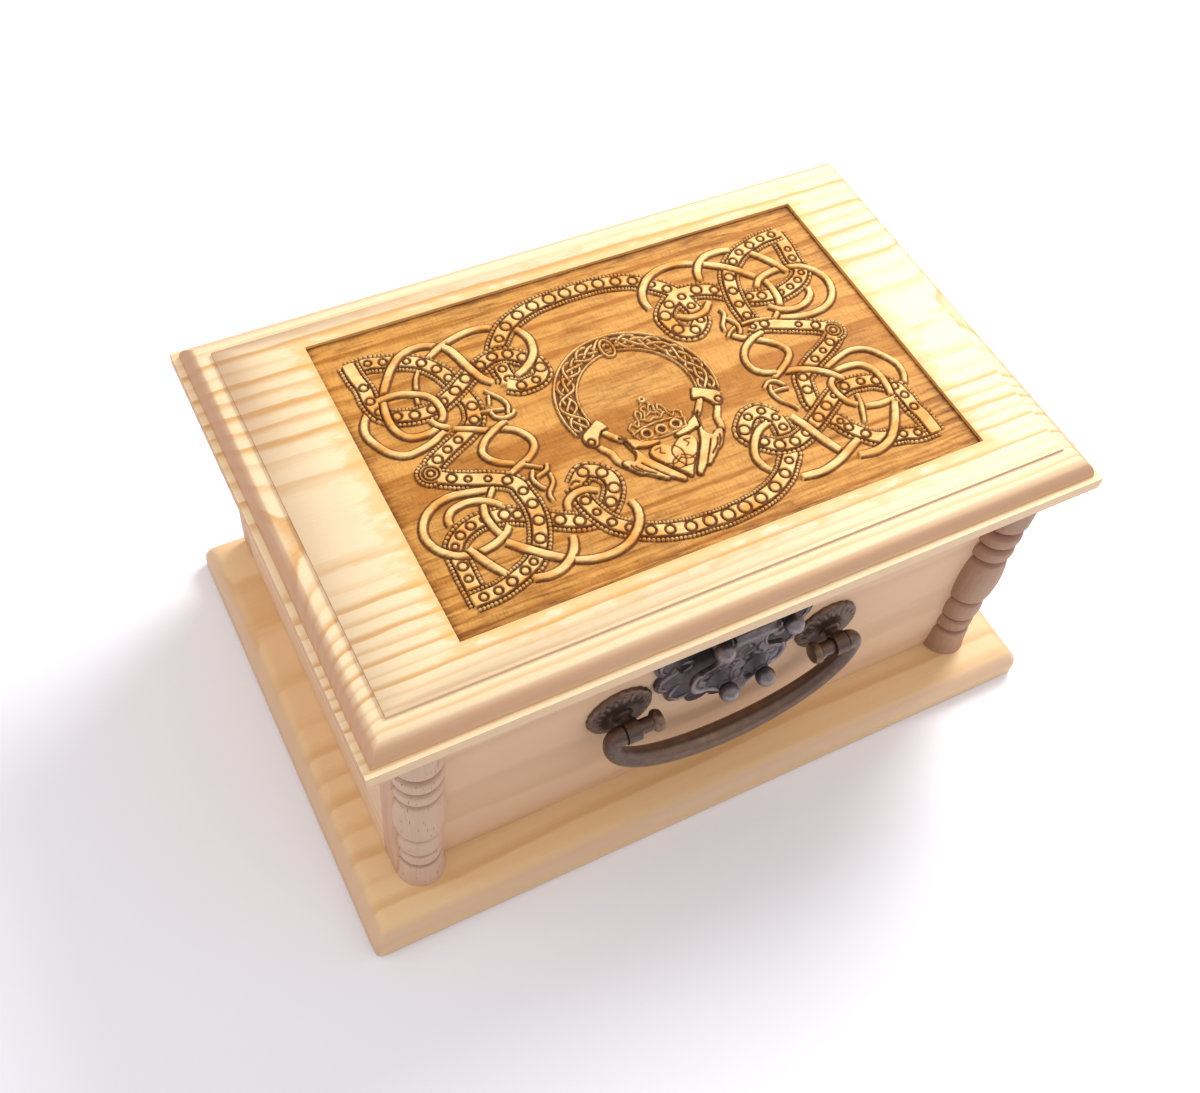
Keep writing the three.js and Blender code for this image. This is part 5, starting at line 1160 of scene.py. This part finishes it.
def carved_pine():
    """The scorched panel: brown ground, pale ornaments, and charred cuts between them that also
    carry painted shade beside the raised parts.
    """
    made, tree, shader, place = start_material("Carved pine", roughness=0.6)
    shader.inputs["Specular IOR Level"].default_value = 0.2
    chosen = options()
    clean = tree.add("ShaderNodeAttribute", attribute_name="Clean").outputs["Fac"]
    scorch_and_shade = tree.add("ShaderNodeAttribute", attribute_name="Scorch").outputs["Fac"]
    streak = tree.noise(place, (6.0, 0.9, 0.9), 4.0, 0.6)
    hatch = tree.noise(place, (0.5, 3.0, 3.0), 3.0, 0.6)
    cloud = tree.noise(place, (9.0, 6.0, 6.0), 3.0)
    rings = tree.group("Pine Grain", pine_group, {"Place": place, **LID_RINGS})
    shade = tree.math("ADD", tree.span(streak, 0.3, 0.75, 0, 0.25), rings["Line"])
    shade = tree.math("ADD", shade, tree.span(cloud, 0.35, 0.75, -0.1, 0.25))
    shade = tree.add("ShaderNodeClamp", {"Value": shade}).outputs[0]
    ground = tree.blend(shade, (*chosen.ground_pale, 1), (*chosen.ground_brown, 1))
    ground = tree.blend(tree.span(hatch, 0.45, 0.75, 0, 0.3), ground, (*chosen.burnt_and_shade, 1))
    top = tree.blend(tree.span(cloud, 0.35, 0.7), (*chosen.carving_pale, 1),
                     (*chosen.carving_gold, 1))
    top = tree.blend(tree.span(streak, 0.5, 0.8, 0, 0.3), top, (*chosen.ground_brown, 1))
    colour = tree.blend(clean, ground, top)
    # The mark pulls the colour towards the charred colour: the burn of the cuts, and painted shade
    # beside and on the shoulders of the raised parts
    mark = tree.math("ADD", scorch_and_shade, tree.span(streak, 0.3, 0.8, -0.15, 0.2))
    mark = tree.span(mark, 0.04, 0.85, 0, 0.9)
    tree.feed(shader.inputs["Base Color"], tree.blend(mark, colour, (*chosen.burnt_and_shade, 1)))
    raise_surface(tree, shader, tree.math("ADD", streak, hatch), CARVED_DEPTH)
    return made


# Settings


def colour_setting(name, description, colour):
    """A setting for a colour that is given on the usual 0 to 255 scale."""
    return FloatVectorProperty(name=name, description=description, subtype="COLOR", size=3,
                               min=0, max=1, default=srgb(*colour))


class KeepsakeBoxSettings(bpy.types.PropertyGroup):
    """Sizes and colours of the box's looks."""

    lid_pale: colour_setting("Lid pale", "Early wood of the lid", (252, 225, 181))
    lid_late: colour_setting("Lid late", "Late wood of the lid", (226, 174, 108))
    lid_edge_shade: colour_setting("Lid edge shade", "Painted shade on the lid's sloped and upright faces", (208, 160, 126))
    base_pale: colour_setting("Base pale", "Early wood of the base board", (240, 202, 152))
    base_late: colour_setting("Base late", "Late wood of the base board", (226, 180, 124))
    base_edge_shade: colour_setting("Base edge shade", "Painted shade on the base's sloped and upright faces", (222, 186, 152))
    body_pale: colour_setting("Wall pale", "Early wood of the walls", (230, 192, 156))
    body_late: colour_setting("Wall late", "Late wood of the walls", (220, 180, 143))
    turned_pale: colour_setting("Turning pale", "Early wood of the turnings", (214, 180, 154))
    turned_late: colour_setting("Turning late", "Late wood of the turnings", (168, 128, 102))
    scorched_edge: colour_setting("Scorched edge", "Smoke round the panel", (232, 176, 78))
    ground_pale: colour_setting("Ground pale", "Lighter streaks of the ground", (222, 160, 80))
    ground_brown: colour_setting("Ground brown", "Darker streaks of the ground", (184, 118, 42))
    carving_pale: colour_setting("Carving pale", "Palest wood of the ornaments", (252, 210, 140))
    carving_gold: colour_setting("Carving gold", "Golden wood of the ornaments", (228, 158, 74))
    burnt_and_shade: colour_setting("Burnt", "Burnt cuts and painted shade beside raised wood", (96, 48, 10))
    bronze_dark: colour_setting("Bronze dark", "Old bronze", (98, 80, 72))
    bronze_worn: colour_setting("Bronze worn", "Rubbed bronze", (152, 120, 96))
    plate_dark: colour_setting("Plate dark", "Old bronze of the lock", (84, 76, 80))
    plate_worn: colour_setting("Plate worn", "Rubbed bronze of the lock", (172, 158, 156))
    brass: colour_setting("Hinge brass", "Brass of the hinges", (196, 160, 96))
    steel: colour_setting("Steel", "Steel of the screws and nuts", (168, 168, 164))

    carving_step: FloatProperty(
        name="Carving step", description="Distance between the carving's points",
        default=0.27 * MM, min=0.1 * MM, max=1 * MM, unit="LENGTH", precision=5)
    carving_height: FloatProperty(
        name="Carving height", description="Rise of the ornaments off the panel's ground",
        default=1.0 * MM, min=0.2 * MM, max=PANEL_SUNK * MM, unit="LENGTH", precision=5)
    edge_round: FloatProperty(
        name="Edge rounding", description="Rounding of the lid's edges, twice that of the walls",
        default=0.6 * MM, min=0, max=2 * MM, unit="LENGTH", precision=5)
    turning_sides: IntProperty(
        name="Turning sides", description="Facets round a turned piece",
        default=64, min=16, max=128)
    lens: FloatProperty(
        name="Lens", description="Focal length of the camera, in millimetres",
        default=42.535, min=10, max=200, unit="CAMERA")
    key_power: FloatProperty(
        name="Key light", description="Power of the main lamp, in watts",
        default=4.4, min=0, max=100, unit="POWER")
    fill_level: FloatProperty(
        name="Fill", description="Brightness of the light from all round",
        default=0.66, min=0, max=2, subtype="FACTOR")


def options():
    """The settings of the scene in hand."""
    return bpy.context.scene.keepsake_box


# Woods and metals by name


def lid_pine():
    chosen = options()
    return pine("Lid pine", "X", LID_RINGS, chosen.lid_pale, chosen.lid_late,
                edge_shade=chosen.lid_edge_shade, scorched=True)


def base_pine():
    chosen = options()
    return pine("Base pine", "X", BASE_RINGS, chosen.base_pale, chosen.base_late,
                edge_shade=chosen.base_edge_shade)


def wall_pine(grain):
    chosen = options()
    return pine("Wall pine " + grain.lower(), grain, WALL_RINGS, chosen.body_pale,
                chosen.body_late)


def turned_pine():
    chosen = options()
    return pine("Turned pine", "Z", TURNED_RINGS, chosen.turned_pale, chosen.turned_late)


def old_bronze():
    return bronze("Old bronze", options().bronze_dark, options().bronze_worn)


def lock_bronze():
    return bronze("Lock bronze", options().plate_dark, options().plate_worn)


def dulled(colour):
    """A metal's colour where nothing rubs it."""
    return tuple(UNRUBBED * share for share in colour)


def hinge_brass():
    return bronze("Hinge brass", dulled(options().brass), options().brass)


def plain_steel():
    return bronze("Plain steel", dulled(options().steel), options().steel)


# Pieces


class KEEPSAKE_OT_boards(bpy.types.Operator):
    """The lid, the base board and the four walls, with rounded edges and grain"""

    bl_idname = "keepsake.boards"
    bl_label = "Boards"
    bl_options = {"REGISTER", "UNDO"}

    def execute(self, context):
        soft = options().edge_round / MM
        low = (PANEL_X[0] + PANEL_CLEAR, PANEL_Y[0] + PANEL_CLEAR, PANEL_FLOOR - PANEL_CLEAR)
        high = (PANEL_X[1] - PANEL_CLEAR, PANEL_Y[1] - PANEL_CLEAR, LID_HIGH.z + PANEL_CLEAR)
        dressed("lid_board", "lid", lid_pine(), soft, without=(low, high))
        dressed("base_plate", "box", base_pine(), 0)
        # The back wall's edges stay crisp, for rounded ones shade badly between hinge recesses
        for name, grain, bevel in (("front", "X", soft / 2), ("back", "X", 0),
                                   ("left", "Y", soft / 2), ("right", "Y", soft / 2)):
            dressed(name + "_wall", "box", wall_pine(grain), bevel)
        return {"FINISHED"}


class KEEPSAKE_OT_carving(bpy.types.Operator):
    """The carved and scorched ground of the sunk panel"""

    bl_idname = "keepsake.carving"
    bl_label = "Carved panel"
    bl_options = {"REGISTER", "UNDO"}

    def lay_flat(self, made):
        """Unwraps the panel from above, so that its bake has the same detail all over."""
        flat = made.data.uv_layers.new(name="OFBake")
        corners = np.zeros(len(made.data.loops), np.int32)
        made.data.loops.foreach_get("vertex_index", corners)
        spots = np.zeros(len(made.data.vertices) * 3, np.float32)
        made.data.vertices.foreach_get("co", spots)
        spots = spots.reshape(-1, 3)[:, :2] / MM
        start = np.array((PANEL_X[0], PANEL_Y[0]))
        shares = (spots - start) / (PANEL_X[1] - PANEL_X[0])
        flat.data.foreach_set("uv", shares[corners].astype(np.float32).ravel())

    def execute(self, context):
        top = options().carving_height / MM
        middle = np.array(((LID_LOW.x + LID_HIGH.x) / 2, LID_MIDDLE_Y))
        low = np.array((PANEL_X[0], PANEL_Y[0])) - middle
        high = np.array((PANEL_X[1], PANEL_Y[1])) - middle
        relief = Relief(low, high, options().carving_step / MM)
        carve_floor(relief)
        carve_ring(relief)
        strokes = {"ribbon": relief.ribbon, "band": relief.band}
        for kind, half, points in KNOTWORK:
            strokes[kind](points, half)
        for x, y, radius in EYES:
            relief.disc(x, y, radius)
        carve_emblem(relief)
        xs, ys = np.meshgrid(relief.xs + middle[0], relief.ys + middle[1])
        face = np.stack([xs, ys, PANEL_FLOOR + GROUND_LIFT + top * relief.height], -1)
        under = np.stack([xs, ys, np.full(xs.shape, PANEL_FLOOR - GROUND_SUNK)], -1)
        points, faces = sheet_between(face, under)
        twice = [np.tile(field.ravel(), 2) for field in (relief.clean, relief.scorch_and_shade)]
        made = piece("carved_panel", points, faces, "lid", carved_pine(),
                     ("lid_board",), sharp=CARVED_SHARP_ANGLE,
                     painted={"Clean": twice[0], "Scorch": twice[1]})
        self.lay_flat(made)
        return {"FINISHED"}


class KEEPSAKE_OT_turnings(bpy.types.Operator):
    """The split turnings that cover the front corners"""

    bl_idname = "keepsake.turnings"
    bl_label = "Split turnings"
    bl_options = {"REGISTER", "UNDO"}

    def profile(self, low, high):
        """Radius and height pairs up the turning."""
        points = []
        foot = low
        for tall, swelled, end in SWELLS:
            bulge = 2 * swelled - end
            for share in np.linspace(0, 1, SWELL_STEPS):
                radius = end * ((1 - share) ** 2 + share ** 2) + 2 * share * (1 - share) * bulge
                near = tall * (1 - share if foot == low else min(share, 1 - share))
                shoulder = max(0.0, 1 - near / SHOULDER)
                radius -= (radius - GROOVE_RADIUS) * (1 - math.sqrt(1 - shoulder ** 2))
                flare = max(0.0, 1 - (foot + share * tall - low) / FOOT_RISE)
                points.append((radius + FOOT_FLARE * flare ** 2, foot + share * tall))
            foot += tall
        for share in np.linspace(0, 1, CUP_STEPS)[1:]:
            radius = GROOVE_RADIUS + (CUP_RADIUS - GROOVE_RADIUS) * (1 - (1 - share) ** 2)
            points.append((radius, foot + share * CUP_RISE))
        inward, down = CUP_CHAMFER
        return points + [(CUP_RADIUS, high - down), (CUP_RADIUS - inward, high)]

    def execute(self, context):
        sides = options().turning_sides
        for side in SIDES:
            node = "spindle_" + SIDE_NAMES[side]
            low, high = extent(node)
            turns = np.linspace(math.pi, 2 * math.pi, sides + 1)
            ring = np.column_stack([np.cos(turns), np.sin(turns)])
            rows = []
            for radius, height in self.profile(low.z, high.z):
                heights = np.full((sides + 1, 1), height)
                flat = np.array(((low.x + high.x) / 2, high.y)) + radius * ring
                rows.append(np.hstack([flat, heights]))
            faces = grid_faces(len(rows), sides + 1, closed=True)
            faces.append(list(range(sides + 1))[::-1])
            last = (len(rows) - 1) * (sides + 1)
            faces.append(list(range(last, last + sides + 1)))
            piece(node + "_turned", np.vstack(rows), faces, "box",
                  turned_pine(), (node,))
        return {"FINISHED"}


class KEEPSAKE_OT_handle(bpy.types.Operator):
    """The drop handle on its two rosettes"""

    bl_idname = "keepsake.handle"
    bl_label = "Drop handle"
    bl_options = {"REGISTER", "UNDO"}

    def rosette(self, side):
        """A domed disc with a scalloped rim and a short dent in from each scallop."""
        node = "rosette_" + SIDE_NAMES[side]
        turns = np.linspace(0, 2 * math.pi, SCALLOP_POINTS * ROSETTE_SCALLOPS, endpoint=False)
        lobe = np.abs(np.cos(turns * ROSETTE_SCALLOPS / 2))
        front = []
        rub = []
        for share in np.linspace(0, 1, ROSETTE_ROWS):
            radius = share * (ROSETTE_RADIUS - ROSETTE_NOTCH * (1 - lobe) * share ** 4)
            inner = np.clip((radius - ROSETTE_LAND) / (ROSETTE_RADIUS - ROSETTE_LAND), 0, 1)
            dome = np.sqrt(1 - ROSETTE_ROUND * inner ** 2)
            rise = ROSETTE_RIM + (ROSETTE_RISE - ROSETTE_RIM) * dome
            reach = np.exp(-((radius - DENT_RADIUS) / DENT_REACH) ** 2)
            dent = reach * np.clip(1 - (1 - lobe) * DENT_TAPER, 0, 1)
            rise -= DENT_DEPTH * dent
            rise -= EDGE_FALL * max(share - EDGE_START, 0) / (1 - EDGE_START)
            front.append(np.column_stack([radius * np.cos(turns), -rise, radius * np.sin(turns)]))
            rub.append(0.35 * dent + 0.25 * (share > 0.93) + 0.1 * lobe * share)
        back = [np.column_stack([row[:, 0], np.zeros(len(row)), row[:, 2]]) for row in front[::-1]]
        middle = middle_of(node)
        points = np.vstack(front + back) + np.array((middle.x, WALL_FACE_Y, middle.z))
        faces = grid_faces(2 * len(front), len(turns), closed=True)
        worn = np.concatenate([np.concatenate(rub), np.zeros(len(turns) * len(back))])
        piece(node + "_domed", points, faces, "box", old_bronze(), (node,),
              painted={"Rub": worn})

    def bail(self):
        """The bar: a straight end at each eye, an elbow and a long bow that thickens below."""
        elbow = np.linspace(math.pi / 2, math.pi, ELBOW_STEPS)
        left = np.column_stack([-BAIL_END + BAIL_ELBOW * np.cos(elbow),
                                -BAIL_ELBOW + BAIL_ELBOW * np.sin(elbow)])
        half = BAIL_END + BAIL_ELBOW
        bow = np.linspace(math.pi, 2 * math.pi, BOW_STEPS)[1:-1]
        low = np.column_stack([half * np.cos(bow), -BAIL_ELBOW + BAIL_DROP * np.sin(bow)])
        right = left[::-1] * (-1, 1)
        flat = np.vstack([left, low, right])
        path = np.column_stack([flat[:, 0] + HARDWARE_X, np.full(len(flat), BAIL_AXIS.y),
                                flat[:, 1] + BAIL_AXIS.z])
        radii = BAIL_RADIUS + BAIL_SWELL * (1 - (flat[:, 0] / half) ** 2)
        points, faces = tube(path, radii, HANDLE_SIDES)
        rub = 0.1 + 0.35 * np.repeat(1 - (flat[:, 0] / half) ** 2, HANDLE_SIDES)
        piece("bail_bar", points, faces, "bail", old_bronze(), ("bail",),
              sharp=METAL_SHARP_ANGLE, painted={"Rub": rub})

    def execute(self, context):
        self.bail()
        for side in SIDES:
            name = SIDE_NAMES[side]
            self.rosette(side)
            centre = (HARDWARE_X + side * EYE_SPREAD, BAIL_AXIS.y, BAIL_AXIS.z)
            points, faces = lathe(PIN_PROFILE, centre, (side, 0, 0), HANDLE_SIDES)
            rub = np.repeat([0.5 if radius > 2.5 else 0.1 for radius, _ in PIN_PROFILE],
                            HANDLE_SIDES)
            piece("bail_pin_" + name + "_turned", points, faces, "bail", old_bronze(),
                  ("bail_pin_" + name,), painted={"Rub": rub})
            dressed("eye_bolt_" + name, "box", old_bronze(), BOLT_EDGE)
            dressed("washer_" + name, "box", plain_steel(), SCREW_EDGE)
            dressed("nut_" + name, "box", plain_steel(), BOLT_EDGE)
        return {"FINISHED"}


class KEEPSAKE_OT_lock(bpy.types.Operator):
    """The lock plate on the wall, with its stud and nails"""

    bl_idname = "keepsake.lock"
    bl_label = "Lock plate"
    bl_options = {"REGISTER", "UNDO"}

    def curl(self, name, side, x, z, radius, start, sweep):
        """A half-sunk bar bent along part of a circle, thinner towards both ends."""
        along = np.linspace(-1, 1, CURL_STEPS)
        turns = np.radians(start + sweep * (along + 1) / 2)
        path = np.column_stack([HARDWARE_X + side * (x + radius * np.cos(turns)),
                                np.full(len(turns), extent("lock_plate")[0].y),
                                z + radius * np.sin(turns)])
        points, faces = tube(path, CURL_TIP + CURL_RADIUS * (1 - along ** 4), CURL_SIDES)
        piece(name, points, faces, "box", lock_bronze(),
              painted={"Rub": np.full(len(points), 0.45)})

    def execute(self, context):
        dressed("lock_plate", "box", lock_bronze(), PLATE_EDGE)
        for side in SIDES:
            for count, curl in enumerate(PLATE_CURLS):
                self.curl(f"plate_curl_{SIDE_NAMES[side]}_{count + 1}", side, *curl)
            for count in (1, 2):
                dressed(f"plate_nail_{SIDE_NAMES[side]}_{count}", "box", old_bronze(), 0)
        dressed("catch_stud", "box", old_bronze(), BOLT_EDGE)
        return {"FINISHED"}


class KEEPSAKE_OT_hasp(bpy.types.Operator):
    """The hasp: its bracket under the lid's front edge, its flap and its four pegs"""

    bl_idname = "keepsake.hasp"
    bl_label = "Hasp"
    bl_options = {"REGISTER", "UNDO"}

    def depth(self, drop):
        """How far off the wall the flap's back is, at a drop below the lid."""
        return (FLAP_BACK + NECK_SLOPE * np.maximum(NECK_DROP - drop, 0)
                + POINT_SLOPE * np.maximum(drop - POINT_DROP, 0))

    def barrel(self):
        """Points and faces of the flap's knuckle."""
        half = KNUCKLE_LENGTH / 2
        straight = half - KNUCKLE_CHAMFER
        narrow = KNUCKLE_RADIUS - KNUCKLE_CHAMFER
        profile = ((0, -half), (narrow, -half), (KNUCKLE_RADIUS, -straight),
                   (KNUCKLE_RADIUS, straight), (narrow, half), (0, half))
        return lathe(profile, (HARDWARE_X, HASP_AXIS.y, HASP_AXIS.z), (1, 0, 0), HASP_SIDES)

    def flap(self):
        """The winged sheet with its rim and scrolls, and its knuckle."""
        outline, _, _ = smooth_line(FLAP_OUTLINE[1:], FLAP_STEP)
        halves = outline[:, 0][::-1]
        drops = outline[:, 1][::-1]
        spine = np.linspace(drops.min(), drops.max(), len(drops))
        shares = np.linspace(-1, 1, FLAP_COLUMNS)
        across = halves[:, None] * shares[None, :]
        down = spine[:, None] + np.abs(shares)[None, :] ** 2 * (drops - spine)[:, None]
        relief = Relief(*SCROLL_FIELD)
        relief.height += 1
        for side in SIDES:
            for line in FLAP_SCROLLS:
                relief.cut(mirrored(line, side), half=SCROLL_HALF, depth=0.9)
        height = relief.sample(relief.height, across, -down)
        rim = np.clip((np.abs(shares)[None, :] - 1) * halves[:, None] + FLAP_RIM, 0, FLAP_RIM)
        rim = np.sin(rim / FLAP_RIM * math.pi)
        face = self.depth(down) + FLAP_THICK + FLAP_RELIEF * (rim - (1 - height))
        front = np.stack([HARDWARE_X + across, WALL_FACE_Y - face, LID_UNDERSIDE - down], -1)
        back = front.copy()
        back[..., 1] = WALL_FACE_Y - self.depth(down)
        barrel = self.barrel()
        points, faces = joined(sheet_between(front, back), barrel)
        rub = 0.35 * height + 0.35 * rim - 0.5 * (1 - height)
        worn = [rub.ravel(), np.zeros(rub.size), np.full(len(barrel[0]), 0.35)]
        piece("hasp_flap_scrolled", points, faces, "hasp", lock_bronze(),
              ("hasp_flap",), sharp=METAL_SHARP_ANGLE, painted={"Rub": np.concatenate(worn)})

    def peg(self, kind, side):
        """A post that narrows to a waist under a ball."""
        x, drop, start, length, base = PEGS[kind]
        profile = [(0, 0), (base, 0)]
        waist_end = length - 2 * PEG_BALL + PEG_OVERLAP
        for share in np.linspace(0, 1, PEG_STEPS):
            radius = PEG_WAIST + (base - PEG_WAIST) * (1 - share) ** 2
            profile.append((radius, PEG_FOOT + share * (waist_end - PEG_FOOT)))
        for turn in np.linspace(PEG_BALL_START, math.pi / 2, PEG_STEPS):
            radius = PEG_BALL * math.cos(turn)
            profile.append((radius, length - PEG_BALL + PEG_BALL * math.sin(turn)))
        centre = (HARDWARE_X + side * x, WALL_FACE_Y - start, LID_UNDERSIDE - drop)
        points, faces = lathe(profile, centre, (0, -1, 0), HASP_SIDES)
        # Rub rises towards the ball: wear on its tip, and painted shade on the stem, which the
        # lid's overhang keeps from the light
        rub = [0.9 * max(0, along / length - 0.35) for _, along in profile]
        node = f"{kind}_peg_{SIDE_NAMES[side]}"
        piece(node + "_turned", points, faces, "lid" if kind == "upper" else "hasp",
              lock_bronze(), (node,), painted={"Rub": np.repeat(rub, HASP_SIDES)})

    def execute(self, context):
        self.flap()
        for kind in PEGS:
            for side in SIDES:
                self.peg(kind, side)
        dressed("hasp_bracket", "lid", lock_bronze(), SHEET_EDGE)
        dressed("hasp_pin", "lid", plain_steel(), SCREW_EDGE)
        for side in SIDES:
            screw = "bracket_screw_" + SIDE_NAMES[side]
            dressed(screw, "lid", plain_steel(), SCREW_EDGE)
        return {"FINISHED"}


class KEEPSAKE_OT_hinges(bpy.types.Operator):
    """The two brass butt hinges at the back, with their pins and screws"""

    bl_idname = "keepsake.hinges"
    bl_label = "Hinges"
    bl_options = {"REGISTER", "UNDO"}

    def execute(self, context):
        for side in SIDES:
            stem = "hinge_" + SIDE_NAMES[side]
            dressed(stem + "_pin", "box", plain_steel(), SCREW_EDGE)
            for part, body in (("body", "box"), ("lid", "lid")):
                dressed(f"{stem}_{part}_leaf", body, hinge_brass(), SHEET_EDGE)
                for count in (1, 2):
                    dressed(f"{stem}_{part}_screw_{count}", body,
                            hinge_brass(), SCREW_EDGE)
        return {"FINISHED"}


class KEEPSAKE_OT_stage(bpy.types.Operator):
    """The white floor, the lamps and the camera"""

    bl_idname = "keepsake.stage"
    bl_label = "Stage"
    bl_options = {"REGISTER", "UNDO"}

    def floor(self):
        """A flat sheet of white paper just under the box."""
        mesh = bpy.data.meshes.new("floor")
        form = bmesh.new()
        bmesh.ops.create_grid(form, x_segments=8, y_segments=8, size=FLOOR_HALF)
        form.to_mesh(mesh)
        form.free()
        made = new_object("floor", mesh)
        made.location.z = -FLOOR_DROP
        material, tree, shader, place = start_material("Paper white", roughness=0.9)
        tint = tree.noise(place, (400.0, 400.0, 400.0))
        colours = [(*colour, 1) for colour in FLOOR_COLOURS]
        tree.feed(shader.inputs["Base Color"], tree.blend(tint, *colours))
        mesh.materials.append(material)

    def world(self):
        """Light from all round, a little stronger from above, seen as plain white."""
        world = bpy.data.worlds.new("Studio")
        bpy.context.scene.world = world
        world.use_nodes = True
        tree = Tree(world.node_tree)
        light = world.node_tree.nodes["Background"]
        light.inputs["Color"].default_value = (*SKY_COLOUR, 1)
        upward = tree.add("ShaderNodeTexCoord").outputs["Generated"]
        upward = tree.add("ShaderNodeSeparateXYZ", {"Vector": upward}).outputs["Z"]
        level = tree.span(upward, 0, 1, *SKY_LEVELS)
        tree.feed(light.inputs["Strength"], tree.math("MULTIPLY", level, options().fill_level))
        white = tree.add("ShaderNodeBackground", {"Color": (1, 1, 1, 1), "Strength": 1.0})
        seen = tree.add("ShaderNodeLightPath").outputs["Is Camera Ray"]
        mix = tree.add("ShaderNodeMixShader", {0: seen, 1: light.outputs[0],
                                               2: white.outputs[0]})
        tree.feed(world.node_tree.nodes["World Output"].inputs["Surface"], mix.outputs[0])

    def lamp(self, name, place, size, power):
        """A round lamp that faces the middle of the box's foot."""
        data = bpy.data.lights.new(name, "AREA")
        data.shape = "DISK"
        data.size = size
        data.energy = power
        made = new_object(name, data)
        made.location = place
        made.rotation_euler = (-Vector(place)).to_track_quat("-Z", "Y").to_euler()

    def camera(self):
        """The camera that took the photograph, by its bearing, tilt, roll and distance."""
        data = bpy.data.cameras.new("Camera")
        data.sensor_fit = "HORIZONTAL"
        data.sensor_width = SENSOR_WIDTH
        data.lens = options().lens
        made = new_object("Camera", data)
        azimuth, tilt, roll = (math.radians(angle) for angle in CAMERA_ANGLES)
        back = Vector((math.sin(azimuth) * math.cos(tilt), -math.cos(azimuth) * math.cos(tilt),
                       math.sin(tilt)))
        right = (-back).cross(Vector((0, 0, 1))).normalized()
        up = right.cross(-back)
        across = math.cos(roll) * right + math.sin(roll) * up
        upward = math.cos(roll) * up - math.sin(roll) * right
        turn = Matrix((across, upward, back)).transposed().to_4x4()
        place = (Vector(CAMERA_TARGET) + back * CAMERA_DISTANCE) * MM
        made.matrix_world = Matrix.Translation(place) @ turn
        data.clip_start = 0.01
        bpy.context.scene.camera = made

    def execute(self, context):
        bpy.context.scene.view_settings.view_transform = "Standard"
        self.floor()
        self.world()
        for name, (place, size, share) in LAMPS.items():
            self.lamp(name, place, size, share * options().key_power)
        self.camera()
        return {"FINISHED"}


class KEEPSAKE_PT_panel(bpy.types.Panel):
    """Lists the pieces of the keepsake box"""

    bl_label = "Keepsake Box"
    bl_idname = "KEEPSAKE_PT_panel"
    bl_space_type = "VIEW_3D"
    bl_region_type = "UI"
    bl_category = "Keepsake Box"

    def draw(self, context):
        for operator in OPERATORS:
            self.layout.operator(operator.bl_idname)
        for setting in KeepsakeBoxSettings.__annotations__:
            self.layout.prop(context.scene.keepsake_box, setting)


OPERATORS = (
    KEEPSAKE_OT_boards,
    KEEPSAKE_OT_carving,
    KEEPSAKE_OT_turnings,
    KEEPSAKE_OT_handle,
    KEEPSAKE_OT_lock,
    KEEPSAKE_OT_hasp,
    KEEPSAKE_OT_hinges,
    KEEPSAKE_OT_stage,
)
CLASSES = (KeepsakeBoxSettings, *OPERATORS, KEEPSAKE_PT_panel)


def register():
    for kind in CLASSES:
        bpy.utils.register_class(kind)
    bpy.types.Scene.keepsake_box = PointerProperty(type=KeepsakeBoxSettings)


def unregister():
    del bpy.types.Scene.keepsake_box
    for kind in reversed(CLASSES):
        bpy.utils.unregister_class(kind)


def main():
    register()
    bpy.ops.keepsake.boards()
    bpy.ops.keepsake.carving()
    bpy.ops.keepsake.turnings()
    bpy.ops.keepsake.handle()
    bpy.ops.keepsake.lock()
    bpy.ops.keepsake.hasp()
    bpy.ops.keepsake.hinges()
    bpy.ops.keepsake.stage()


if __name__ == "__main__":
    main()
